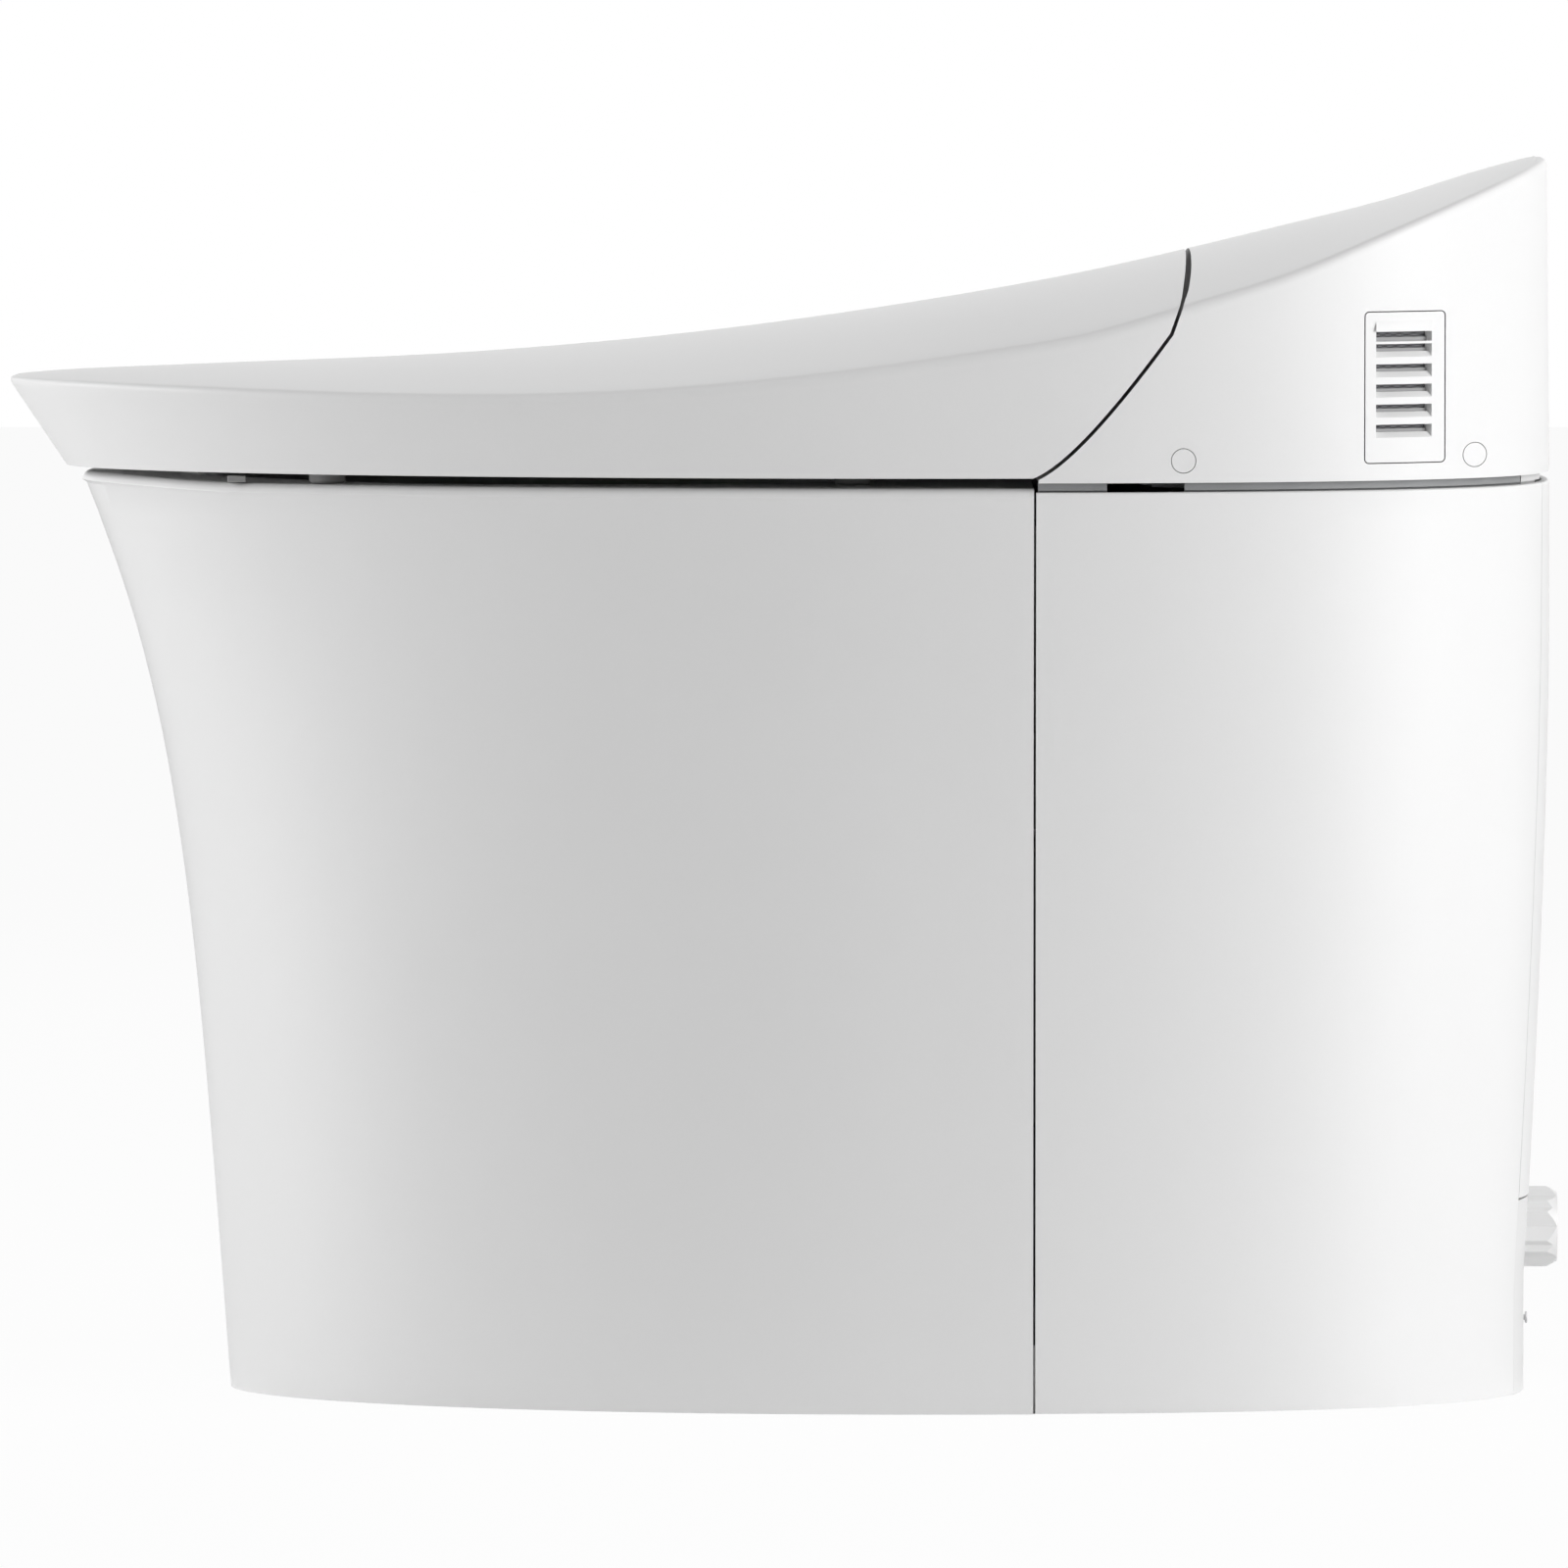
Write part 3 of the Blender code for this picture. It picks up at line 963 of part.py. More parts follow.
# The pump's outline as (height, radius)
PUMP_STATIONS = ((0.0, 0.0345), (0.008, 0.0345), (0.012, 0.024), (0.106, 0.024), (0.110, 0.0195))
BOX_EDGE = 0.004
COIL_COUNT = 3
COIL_RADIUS = 0.0064
VENT_COUNT = 5
FIN_GAP_COUNT = 6

# Water inlet
INLET_START_Y = 0.2150
INLET_RISE = 0.120
STUB_RADIUS = 0.0095
STUB_BORE_RADIUS = 0.0066
STUB_END_Y = 0.3385
NUT_START_Y = 0.3290
NUT_END_Y = 0.3433
NUT_RADIUS = 0.0177
NUT_VALLEY_RADIUS = 0.0156
NUT_CHAMFER = 0.0045
NUT_END_RADIUS = 0.0150
NUT_SECTORS = 6
# Corners of one of the nut's sectors, as (share of the sector, on a ridge or in a valley)
NUT_SECTOR_SHARES = ((0.0, 1), (0.44, 1), (0.56, 0), (0.66, 1), (0.78, 1), (0.89, 0))


def wand(made, guide_made, steel):
    """The telescoping wand with its tip, its guide, and the roller and motor that drive it."""
    tube = wand_rod("wand_tube", NOZZLE_LENGTH + FIT, WAND_LENGTH, WAND_RADIUS, made, edge=FIT * 2)
    tip = wand_rod("nozzle_tip", 0, NOZZLE_LENGTH, WAND_RADIUS, made, edge=WAND_RADIUS / 4)
    hole_end = WAND_RADIUS + OVERRUN
    for k in (-1, 0, 1):
        along = NOZZLE_LENGTH / 2 + k * NOZZLE_LENGTH / 6
        cut(tip, rod("jet", (0, *wand_point(along, WAND_RADIUS / 2)), (0, *wand_point(along, hole_end)),
                     WAND_RADIUS / 12, made, steps=8))
    guide = wand_rod("wand_guide", GUIDE_START, GUIDE_END, GUIDE_RADIUS, guide_made)
    low = DECK_TOP_Z + FIT
    for along in ((ROLLER_ALONG + GUIDE_END) / 2, GUIDE_END - GUIDE_LEG_HALF):
        y, z = wand_point(along)
        join(guide, block("leg", (-GUIDE_LEG_HALF, y - GUIDE_LEG_HALF, low),
                          (GUIDE_LEG_HALF, y + GUIDE_LEG_HALF, z), guide_made))
    cut(guide, wand_rod("bore", GUIDE_START - OVERRUN, GUIDE_END + OVERRUN, WAND_RADIUS + RUNNING,
                        guide_made))
    lift = WAND_RADIUS + FIT + ROLLER_RADIUS
    axis = wand_point(ROLLER_ALONG, lift)
    y, z = axis
    reach = GUIDE_RADIUS + FIT
    shaft_end = reach + MOTOR_LENGTH / 2
    cut(guide, cross_rod("window", -reach, reach, axis, ROLLER_RADIUS + 2 * RUNNING, guide_made))
    end = reach + MOTOR_LENGTH
    roller = cross_rod("wand_drive_roller", -ROLLER_HALF, ROLLER_HALF, axis, ROLLER_RADIUS, made,
                       edge=FIT)
    join(roller, cross_rod("shaft", 0, shaft_end, axis, SHAFT_RADIUS, steel, PIN_STEPS))
    moved_origin(roller, (0, y, z))
    motor = cross_rod("wand_motor", reach, end, axis, MOTOR_RADIUS, steel, edge=FIT * 3)
    join(motor, block("leg", (reach + FIT, y - GUIDE_LEG_HALF, low),
                      (end - FIT, y + GUIDE_LEG_HALF, z), steel))
    cut(motor, cross_rod("shaft_hole", 0, shaft_end + RUNNING, axis, SHAFT_RADIUS + FIT, steel, PIN_STEPS))


def fan(prefix, x, y, z, radius, half, base_z, case_made, wheel_made):
    """A case open through its middle, with a bladed wheel on a shaft held by a bridge."""
    room = radius + RUNNING * 2
    outer = room + FAN_WALL
    axis = (y, z)
    case = block(prefix + "_case", (x - half - FAN_WALL, y - outer, base_z),
                 (x + half + FAN_WALL, y + outer, z + outer), case_made, BOX_EDGE)
    cut(case, cross_rod("room", x - half - OVERRUN, x + half + OVERRUN, axis, room, case_made))
    bridge = block("bridge", (x + half + RUNNING, y - outer + FAN_WALL / 2, z - HUB_RADIUS / 2),
                   (x + half + FAN_WALL, y + outer - FAN_WALL / 2, z + HUB_RADIUS / 2), case_made)
    join(case, bridge)
    cut(case, cross_rod("bearing", x, x + half + OVERRUN, axis, SHAFT_RADIUS + FIT, case_made, PIN_STEPS))
    wheel = cross_rod(prefix + "_wheel", x - half, x + half, axis, HUB_RADIUS, wheel_made,
                      2 * FAN_BLADES)
    join(wheel, cross_rod("shaft", x, x + half + FAN_WALL, axis, SHAFT_RADIUS, wheel_made, PIN_STEPS),
         cross_rod("disc", x - half, x - half + FAN_WALL / 2, axis, radius, wheel_made))
    for k in range(FAN_BLADES):
        blade = block("blade", (x - half + FIT, y + HUB_RADIUS - RUNNING, z - FAN_WALL / 4),
                      (x + half, y + radius - RUNNING, z + FAN_WALL / 4), wheel_made)
        turn = Matrix.Rotation(math.tau * k / FAN_BLADES, 4, "X")
        blade.data.transform(Matrix.Translation((0, y, z)) @ turn @ Matrix.Translation((0, -y, -z)))
        join(wheel, blade)
    return moved_origin(wheel, (x, y, z))


def standing_box(name, low, high, base_z, height, made, edge=BOX_EDGE):
    """A moulded box standing on a base."""
    return block(name, (*low, base_z), (*high, base_z + height), made, edge)


def inner_boxes(plastic, tank_made, steel):
    """The water and electrical units on the deck and under it."""
    deck = DECK_TOP_Z + FIT
    heater = standing_box("water_heater", HEATER_LOW, HEATER_HIGH, deck, HEATER_HEIGHT, plastic)
    middle_x = (HEATER_LOW[0] + HEATER_HIGH[0]) / 2
    for y in (HEATER_LOW[1] + 2 * STUB_RADIUS, HEATER_HIGH[1] - 2 * STUB_RADIUS):
        top = deck + HEATER_HEIGHT
        join(heater, rod("port", (middle_x, y, top - BOX_EDGE), (middle_x, y, top + BOX_EDGE * 2),
                         BOX_EDGE, plastic, steps=PIN_STEPS))
    valve = standing_box("valve_manifold", MANIFOLD_LOW, MANIFOLD_HIGH, deck, MANIFOLD_HEIGHT, plastic)
    valve_x = (MANIFOLD_LOW[0] + MANIFOLD_HIGH[0]) / 2
    for k in range(COIL_COUNT):
        y = MANIFOLD_LOW[1] + (k + 1 / 2) * (MANIFOLD_HIGH[1] - MANIFOLD_LOW[1]) / COIL_COUNT
        top = deck + MANIFOLD_HEIGHT
        join(valve, rod("coil", (valve_x, y, top - BOX_EDGE), (valve_x, y, top + BOX_EDGE * 3),
                        COIL_RADIUS, plastic, steps=PIN_STEPS))
    drive = standing_box("lid_drive", DRIVE_LOW, DRIVE_HIGH, deck, DRIVE_HEIGHT, steel, BOX_EDGE / 2)
    drive_y = (DRIVE_LOW[1] + DRIVE_HIGH[1]) / 2
    join(drive, rod("gear_head", (DRIVE_LOW[0], drive_y, deck + DRIVE_HEIGHT - BOX_EDGE),
                    (DRIVE_HIGH[0], drive_y, deck + DRIVE_HEIGHT - BOX_EDGE), BOX_EDGE * 2, steel, FIT,
                    BAR_STEPS))
    control = standing_box("control_box", CONTROL_LOW, CONTROL_HIGH, deck, CONTROL_HEIGHT, plastic)
    for k in range(VENT_COUNT):
        x = CONTROL_LOW[0] + (k + 1) * (CONTROL_HIGH[0] - CONTROL_LOW[0]) / (VENT_COUNT + 1)
        vent_top = deck + CONTROL_HEIGHT - BOX_EDGE
        cut(control, block("vent", (x - FAN_WALL, CONTROL_LOW[1] - OVERRUN, vent_top - 2 * BOX_EDGE),
                           (x + FAN_WALL, CONTROL_LOW[1] + BOX_EDGE, vent_top), plastic))
    floor = FOOT_HEIGHT + FIT
    tank = standing_box("reservoir_tank", TANK_LOW, TANK_HIGH, floor, TANK_HEIGHT, tank_made, BOX_EDGE * 3)
    tank_x = (TANK_LOW[0] + TANK_HIGH[0]) / 2
    tank_y = (TANK_LOW[1] + TANK_HIGH[1]) / 2
    top = floor + TANK_HEIGHT
    join(tank, rod("filler", (tank_x, tank_y, top - BOX_EDGE), (tank_x, tank_y, top + BOX_EDGE * 3),
                   STUB_RADIUS, tank_made))
    supply_base = DECK_SEAT_Z - SUPPLY_HEIGHT
    supply = standing_box("power_supply", SUPPLY_LOW, SUPPLY_HIGH, supply_base, SUPPLY_HEIGHT, plastic)
    for k in range(FIN_GAP_COUNT):
        y = SUPPLY_LOW[1] + (k + 1) * (SUPPLY_HIGH[1] - SUPPLY_LOW[1]) / (FIN_GAP_COUNT + 1)
        cut(supply, block("fin_gap", (SUPPLY_LOW[0] - OVERRUN, y - FAN_WALL, supply_base - OVERRUN),
                          (SUPPLY_HIGH[0] + OVERRUN, y + FAN_WALL, supply_base + BOX_EDGE), plastic))
    pump = turned("flush_pump", PUMP_STATIONS, steel, (PUMP_X, PUMP_Y, floor), (0, 0, 1))
    port_z = floor + BOX_EDGE * 3 + STUB_RADIUS
    return join(pump, rod("port", (PUMP_X, PUMP_Y, port_z), (PUMP_X, PUMP_Y - PUMP_PORT_REACH, port_z),
                          STUB_RADIUS, steel))


def water_inlet(made, nut_made):
    """The inlet pipe through the bulkhead, and the fluted nut that turns on its end."""
    pipe_end = FLOOR_REAR_Y - FIT
    inlet = rod("inlet_pipe", (INLET_X, INLET_START_Y, INLET_Z), (INLET_X, pipe_end, INLET_Z), INLET_BORE,
                made)
    up_y = INLET_START_Y + INLET_BORE
    join(inlet, rod("rise", (INLET_X, up_y, INLET_Z), (INLET_X, up_y, INLET_Z + INLET_RISE), INLET_BORE,
                    made),
         rod("stub", (INLET_X, pipe_end - OVERRUN / 2, INLET_Z), (INLET_X, STUB_END_Y, INLET_Z),
             STUB_RADIUS, made))
    cut(inlet, rod("bore", (INLET_X, INLET_START_Y + 2 * INLET_BORE, INLET_Z),
                   (INLET_X, STUB_END_Y + OVERRUN, INLET_Z), STUB_BORE_RADIUS, made))
    rings = []
    close = NUT_END_RADIUS / NUT_RADIUS
    for y, scale in ((NUT_START_Y, 1), (NUT_END_Y - NUT_CHAMFER, 1), (NUT_END_Y, close)):
        ring = []
        for sector in range(NUT_SECTORS):
            for share, ridge in NUT_SECTOR_SHARES:
                angle = math.tau * (sector + share) / NUT_SECTORS
                radius = (NUT_RADIUS if ridge else NUT_VALLEY_RADIUS) * scale
                ring.append((INLET_X + radius * math.cos(angle), y, INLET_Z + radius * math.sin(angle)))
        rings.append(ring)
    nut = loft("coupling_nut", rings, nut_made)
    cut(nut, rod("thread_bore", (INLET_X, NUT_START_Y - OVERRUN, INLET_Z),
                 (INLET_X, NUT_END_Y + OVERRUN, INLET_Z), STUB_RADIUS + FIT, nut_made))
    moved_origin(nut, (INLET_X, (NUT_START_Y + NUT_END_Y) / 2, INLET_Z))


def main():
    """Build every piece."""
    clear_scene()
    glaze = finish("white_glaze", (0.86, 0.86, 0.86), 0.08)
    shell = finish("white_shell", (0.87, 0.87, 0.87), 0.22)
    seat = finish("seat_white", (0.85, 0.85, 0.85), 0.28)
    chassis = finish("chassis_grey", (0.55, 0.56, 0.57), 0.5)
    inner = finish("inner_white", (0.72, 0.72, 0.71), 0.45)
    dark = finish("inner_black", (0.05, 0.05, 0.055), 0.6)
    rubber = finish("soft_grey", (0.35, 0.35, 0.35), 0.75)
    steel = finish("steel", (0.62, 0.62, 0.63), 0.3, 1.0)
    ceramic_base(glaze)
    base_hardware(rubber, steel)
    side_panel("left", -1, shell)
    side_panel("right", 1, shell)
    rear_strip(shell)
    chassis_deck(chassis)
    rear_housing(shell)
    screw_plugs(shell)
    filter_unit(shell, dark)
    lid(shell)
    lid_hinge(steel)
    seat_parts(seat, rubber, chassis)
    wand(inner, chassis, steel)
    fan_y = (COVER_LOW_Y + COVER_HIGH_Y) / 2
    fan_z = (COVER_LOW_Z + COVER_HIGH_Z) / 2
    fan("deodoriser_fan", FAN_X, fan_y, fan_z, FAN_RADIUS, FAN_HALF, DECK_TOP_Z + FIT, chassis, dark)
    dryer_z = DECK_TOP_Z + FAN_WALL * 2 + DRYER_RADIUS
    fan("dryer_fan", DRYER_X, DRYER_Y, dryer_z, DRYER_RADIUS, DRYER_HALF, DECK_TOP_Z + FIT, chassis, dark)
    inner_boxes(chassis, inner, steel)
    water_inlet(inner, shell)


main()
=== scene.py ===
"""Looks of the one-piece bidet toilet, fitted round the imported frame.

The large shells are made again as fine surfaces from two forms, the flared oval of the body and
the crowned cap, and cut along the same seams as the solids. Every piece and every carried-over
node gets a procedural finish. Lengths are in metres, +Z is up and the toilet faces -Y.
"""
import logging
import math
from dataclasses import dataclass
from enum import Enum
from typing import Any, Iterable, Protocol, Sequence

import bmesh
import bpy
import numpy as np
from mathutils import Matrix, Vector


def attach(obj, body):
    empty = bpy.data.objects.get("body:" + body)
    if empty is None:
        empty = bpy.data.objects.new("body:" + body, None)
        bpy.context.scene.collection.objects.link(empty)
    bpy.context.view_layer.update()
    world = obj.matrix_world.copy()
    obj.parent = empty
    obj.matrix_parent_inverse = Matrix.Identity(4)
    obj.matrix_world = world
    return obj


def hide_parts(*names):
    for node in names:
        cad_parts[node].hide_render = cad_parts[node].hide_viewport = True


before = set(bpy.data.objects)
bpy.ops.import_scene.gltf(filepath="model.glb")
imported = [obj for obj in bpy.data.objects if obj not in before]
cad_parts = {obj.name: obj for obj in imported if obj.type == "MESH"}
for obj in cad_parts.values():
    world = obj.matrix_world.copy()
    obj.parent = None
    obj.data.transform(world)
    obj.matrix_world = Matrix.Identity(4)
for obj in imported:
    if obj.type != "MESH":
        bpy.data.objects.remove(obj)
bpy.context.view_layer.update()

LOG = logging.getLogger("toilet")
Array = np.ndarray
Point = tuple[float, float]
Place = tuple[float, float, float]
Table = tuple[tuple[float, ...], ...]

# Clearances, and how far a tool runs past what it cuts.
FINE_GAP = 0.0003
SEAM_GAP = 0.0016
OVERRUN = 0.020

# Where the casting ends and the side panels begin, then the panels and the rear strip.
SPLIT_Y = 0.1087
PANEL_WALL = 0.0035
PANEL_GAP = 0.0010
PANEL_TOP = 0.4033
STRIP_HALF = 0.060
STRIP_BOTTOM = 0.0870

# Rear housing.
HOUSING_WALL = 0.0030
HOUSING_BOTTOM_Z = 0.4074

# Axes that several pieces share: hinges and the wand's port as (y, z), the inlet as (x, z).
LID_AXIS = (0.1665, 0.4905)
SEAT_AXIS = (0.1120, 0.4290)
PIN_BORE = 0.0031
WAND_PORT = (0.0960, 0.3965)
WAND_SLOPE = math.radians(20)
WAND_ROOM = 0.0925
INLET = (-0.035, 0.0684)

# Fineness of the surfaces.
SURFACE_STEPS = 120
CROWN_STEPS = 44
INSIDE_STEPS = 60
INSIDE_CROWN_STEPS = 24
EDGE_STEPS = 7
CORNER_STEPS = 9
TURN_STEPS = 64
ROD_STEPS = 48
HOLE_STEPS = 24
WALL_LINES = 4000

# Merging, shading and bevels.
MERGE = 1e-6
FLAT_ANGLE = math.radians(0.5)
SHARP_ANGLE = math.radians(34)
BEVEL_ANGLE = math.radians(50)
BEVEL_SEGMENTS = 2


class Operation(Enum):
    """What a tool does to the piece that it meets."""

    CUT = "DIFFERENCE"
    JOIN = "UNION"
    KEEP = "INTERSECT"


@dataclass(frozen=True)
class Oval:
    """A plan outline: half an ellipse in front, half a fuller oval behind.

    The front half is an ellipse about the widest place. The rear half raises sine and cosine to
    2 / squareness, which flattens the back.
    """

    half_width: float
    front_y: float
    rear_y: float
    widest_y: float = 0.055
    squareness: float = 2.6

    def points(self, angles: Array, inset: float = 0.0) -> tuple[Array, Array]:
        """Places on the oval.

        Args:
            angles: 0 at the front tip, pi at the middle of the rear.
            inset: how far the oval is drawn in.

        Returns:
            The x and y of each place.
        """
        half = self.half_width - inset
        sine = np.clip(np.sin(angles), 0, 1)
        cosine = np.cos(angles)
        power = 2 / self.squareness
        front = angles <= math.pi / 2
        x = half * np.where(front, sine, sine ** power)
        ahead = self.widest_y - (self.widest_y - self.front_y - inset) * cosine
        behind = self.widest_y + (self.rear_y - inset - self.widest_y) * np.abs(cosine) ** power
        return x, np.where(front, ahead, behind)


def smooth_curve(share: Array, table: Table | Array) -> Array:
    """Read a table of (place, value) along a smooth cubic through its rows.

    Each span is a Hermite cubic whose end slopes are the central differences of the table.

    Args:
        share: places to read.
        table: rows in rising order.

    Returns:
        The value at each place.
    """
    places, values = np.array(table).T
    slopes = np.gradient(values, places)
    slopes[0] = (values[1] - values[0]) / (places[1] - places[0])
    share = np.clip(share, 0, 1)
    i = np.clip(np.searchsorted(places, share, side="right") - 1, 0, len(places) - 2)
    span = places[i + 1] - places[i]
    t = (share - places[i]) / span
    rise = values[i + 1] - values[i]
    start, end = slopes[i] * span, slopes[i + 1] * span
    return values[i] + t * (start + t * ((3 * rise - 2 * start - end) + t * (start + end - 2 * rise)))


def closed_ring(oval: Oval, z: float, inset: float, steps: int = SURFACE_STEPS) -> Array:
    """The whole outline of an oval at one height: one half and its mirror.

    Args:
        oval: the outline.
        z: its height.
        inset: how far it is drawn in.
        steps: steps along one half.

    Returns:
        The outline as (point, xyz).
    """
    angles = np.linspace(0, math.pi, steps + 1)
    x, y = oval.points(angles, inset)
    x = np.concatenate((x, -x[-2:0:-1]))
    y = np.concatenate((y, y[-2:0:-1]))
    return np.stack((x, y, np.full_like(x, z)), axis=1)


@dataclass(frozen=True)
class BodyForm:
    """The flared oval of the ceramic and the side panels, from the floor to the rim."""

    rim_z: float = 0.4050
    floor_half: float = 0.180
    rim_half: float = 0.203
    side_flare: float = 0.011
    side_power: int = 4
    floor_front: float = -0.2457
    lean: float = 0.0304
    flare: float = 0.0356
    flare_power: float = 4.4
    rear_y: float = 0.3391
    floor_rear: float = 0.3285
    curve_z: float = 0.332
    curve_depth: float = 0.0087
    curve_reach: float = 0.246
    curve_power: float = 1.5

    def oval(self, z: float) -> Oval:
        """The outline at a height.

        The sides and the front lean straight and flare by a power of the height. The rear curves
        in below curve_z by a power of the distance below it.

        Args:
            z: the height.

        Returns:
            The outline there.
        """
        share = max(z, 0) / self.rim_z
        half = (self.floor_half + (self.rim_half - self.floor_half - self.side_flare) * share
                + self.side_flare * share ** self.side_power)
        front = self.floor_front - self.lean * share - self.flare * share ** self.flare_power
        below = max(self.curve_z - z, 0) / self.curve_reach
        rear = max(self.rear_y - self.curve_depth * below ** self.curve_power, self.floor_rear)
        return Oval(half, front, rear)

    def rings(self, low: float, high: float, inset: float, edge: float = 0.0,
              steps: int = SURFACE_STEPS, levels: int = 34) -> Array:
        """Stacked outlines between two heights, the last ones turning in round the top edge.

        Args:
            low: bottom height.
            high: top height.
            inset: how far the form is drawn in.
            edge: radius of the top edge.
            steps: points along half of the outline.
            levels: outlines below the edge.

        Returns:
            Rings as (ring, point, xyz).
        """
        heights = low + (high - edge - low) * np.linspace(0, 1, levels)
        rows = [closed_ring(self.oval(z), z, inset, steps) for z in heights]
        if edge:
            for turn in np.linspace(0, math.pi / 2, EDGE_STEPS)[1:]:
                z = high - edge + edge * math.sin(turn)
                rows.append(closed_ring(self.oval(high), z, inset + edge * (1 - math.cos(turn)), steps))
        return np.array(rows)


@dataclass(frozen=True)
class CapForm:
    """The crowned form of the lid and the rear housing.

    The two tables of shares say how the centre line and the crease climb from the front tip to
    the peak, as (share of the length, share of the rise).
    """

    foot: Oval = Oval(0.204, -0.3174, 0.3391)
    edge: Oval = Oval(0.213, -0.3447, 0.3378)
    foot_z: float = 0.4084
    tip_z: float = 0.4490
    top_tip_z: float = 0.4492
    peak_z: float = 0.5473
    crease: float = 0.0050
    wall_shares: tuple[float, ...] = (1, 0.66, 0.33)
    top_shares: Table = ((0.0, 0.0), (0.03, 0.015), (0.12, 0.042), (0.32, 0.107), (0.445, 0.187),
                         (0.57, 0.304), (0.70, 0.462), (0.83, 0.672), (0.90, 0.793), (0.96, 0.924),
                         (1.0, 1.0))
    crease_shares: Table = ((0.0, 0.0), (0.44, 0.0), (0.55, 0.078), (0.63, 0.157), (0.69, 0.225),
                            (0.76, 0.36), (0.83, 0.51), (0.89, 0.68), (0.96, 0.88), (1.0, 0.995))

    def heights(self, y: Array) -> tuple[Array, Array]:
        """Heights along the cap: each rises from its tip to the peak by its table of shares.

        Args:
            y: places along the cap.

        Returns:
            The heights of the crease and of the centre line.
        """
        share = (np.asarray(y, float) - self.edge.front_y) / (self.edge.rear_y - self.edge.front_y)
        crease = self.tip_z + (self.peak_z - self.tip_z) * smooth_curve(share, self.crease_shares)
        centre = self.top_tip_z + (self.peak_z - self.top_tip_z) * smooth_curve(share, self.top_shares)
        return crease, centre

    def surface(self, across: Array | float, y: Array) -> Array:
        """Height of the crowned top: the crown falls as the square of the share of the half width."""
        crease, centre = self.heights(y)
        return crease + (centre - crease) * (1 - across ** 2)

    def rings(self, low: float, inset: float, steps: int, crown: int) -> Array:
        """Cross rings from the front tip to the rear: side wall, round crease, crown, and back.

        The wall runs straight from the foot to the crease, a quadratic Bezier turns over the
        crease, and inset draws the form in and down.

        Args:
            low: height of the bottom.
            inset: how far the form is drawn in and lowered.
            steps: rings along the form.
            crown: steps across the top.

        Returns:
            Rings as (ring, point, xyz).
        """
        angles = np.linspace(0, math.pi, steps + 1)
        foot_x, foot_y = self.foot.points(angles, inset)
        edge_x, edge_y = self.edge.points(angles, inset)
        edge_z = self.heights(edge_y)[0] - inset
        corner = np.stack((edge_x, edge_y, edge_z), axis=1)
        foot = np.stack((foot_x, foot_y, np.full_like(foot_x, self.foot_z)), axis=1)
        down = foot - corner
        down /= np.linalg.norm(down, axis=1, keepdims=True)
        drop = ((edge_z - low) / -down[:, 2])[:, None]
        wall = [corner + down * (drop * share) for share in self.wall_shares]
        start = corner + down * self.crease
        top_x, top_y = self.edge.points(angles, inset + self.crease)
        rim = 1 - self.crease / self.edge.half_width
        end = np.stack((top_x, top_y, self.surface(rim, top_y) - inset), axis=1)
        turn = [(1 - t) ** 2 * start + 2 * t * (1 - t) * corner + t ** 2 * end
                for t in np.linspace(0, 1, EDGE_STEPS)]
        top = [np.stack((top_x * share, top_y, self.surface(rim * share, top_y) - inset), axis=1)
               for share in 1 - 2 * np.arange(1, crown) / crown]
        side = wall + turn
        mirror = np.array([-1, 1, 1])
        return np.stack(side + top + [row * mirror for row in reversed(side)], axis=1)


BODY = BodyForm()
CAP = CapForm()
BODY_REACH = BODY.rim_half + OVERRUN
FAR_Y = BODY.rear_y + OVERRUN


def mesh_from_grid(name: str, rows: Array, capped: bool = True) -> bpy.types.Object:
    """A closed piece from rings of equal count.

    Neighbouring rings are joined by quads, worked out as whole index arrays. Rings that shrink to
    a line close by merging.

    Args:
        name: the piece's name.
        rows: rings as (ring, point, xyz).
        capped: whether the first and last rings are filled.

    Returns:
        The new object.
    """
    rings, count = rows.shape[:2]
    first = np.arange(rings - 1)[:, None] * count + np.arange(count)[None, :]
    after = np.arange(rings - 1)[:, None] * count + (np.arange(count)[None, :] + 1) % count
    quads = np.stack((first, after, after + count, first + count), axis=-1).reshape(-1, 4).tolist()
    if capped:
        quads += [list(range(count)), list(range((rings - 1) * count, rings * count))]
    mesh = bpy.data.meshes.new(name)
    mesh.from_pydata(rows.reshape(-1, 3).tolist(), [], quads)
    return place_mesh(name, mesh)


def place_mesh(name: str, mesh: bpy.types.Mesh) -> bpy.types.Object:
    """Link a mesh as an object at the origin, with doubles merged and its faces turned out.

    Args:
        name: the object's name.
        mesh: the mesh, which is mended in place.

    Returns:
        The new object.
    """
    build = bmesh.new()
    build.from_mesh(mesh)
    bmesh.ops.remove_doubles(build, verts=build.verts, dist=MERGE)
    bmesh.ops.dissolve_degenerate(build, edges=build.edges, dist=MERGE)
    bmesh.ops.recalc_face_normals(build, faces=build.faces)
    build.to_mesh(mesh)
    build.free()
    piece = bpy.data.objects.new(name, mesh)
    bpy.context.scene.collection.objects.link(piece)
    return piece


def smooth_shade(piece: bpy.types.Object, angle: float = SHARP_ANGLE) -> bpy.types.Object:
    """Shade a piece smooth with its corners kept sharp.

    Args:
        piece: the piece.
        angle: the turn between faces from which an edge is sharp.

    Returns:
        The same piece.
    """
    piece.data.shade_smooth()
    piece.data.set_sharp_from_angle(angle=angle)
    return piece


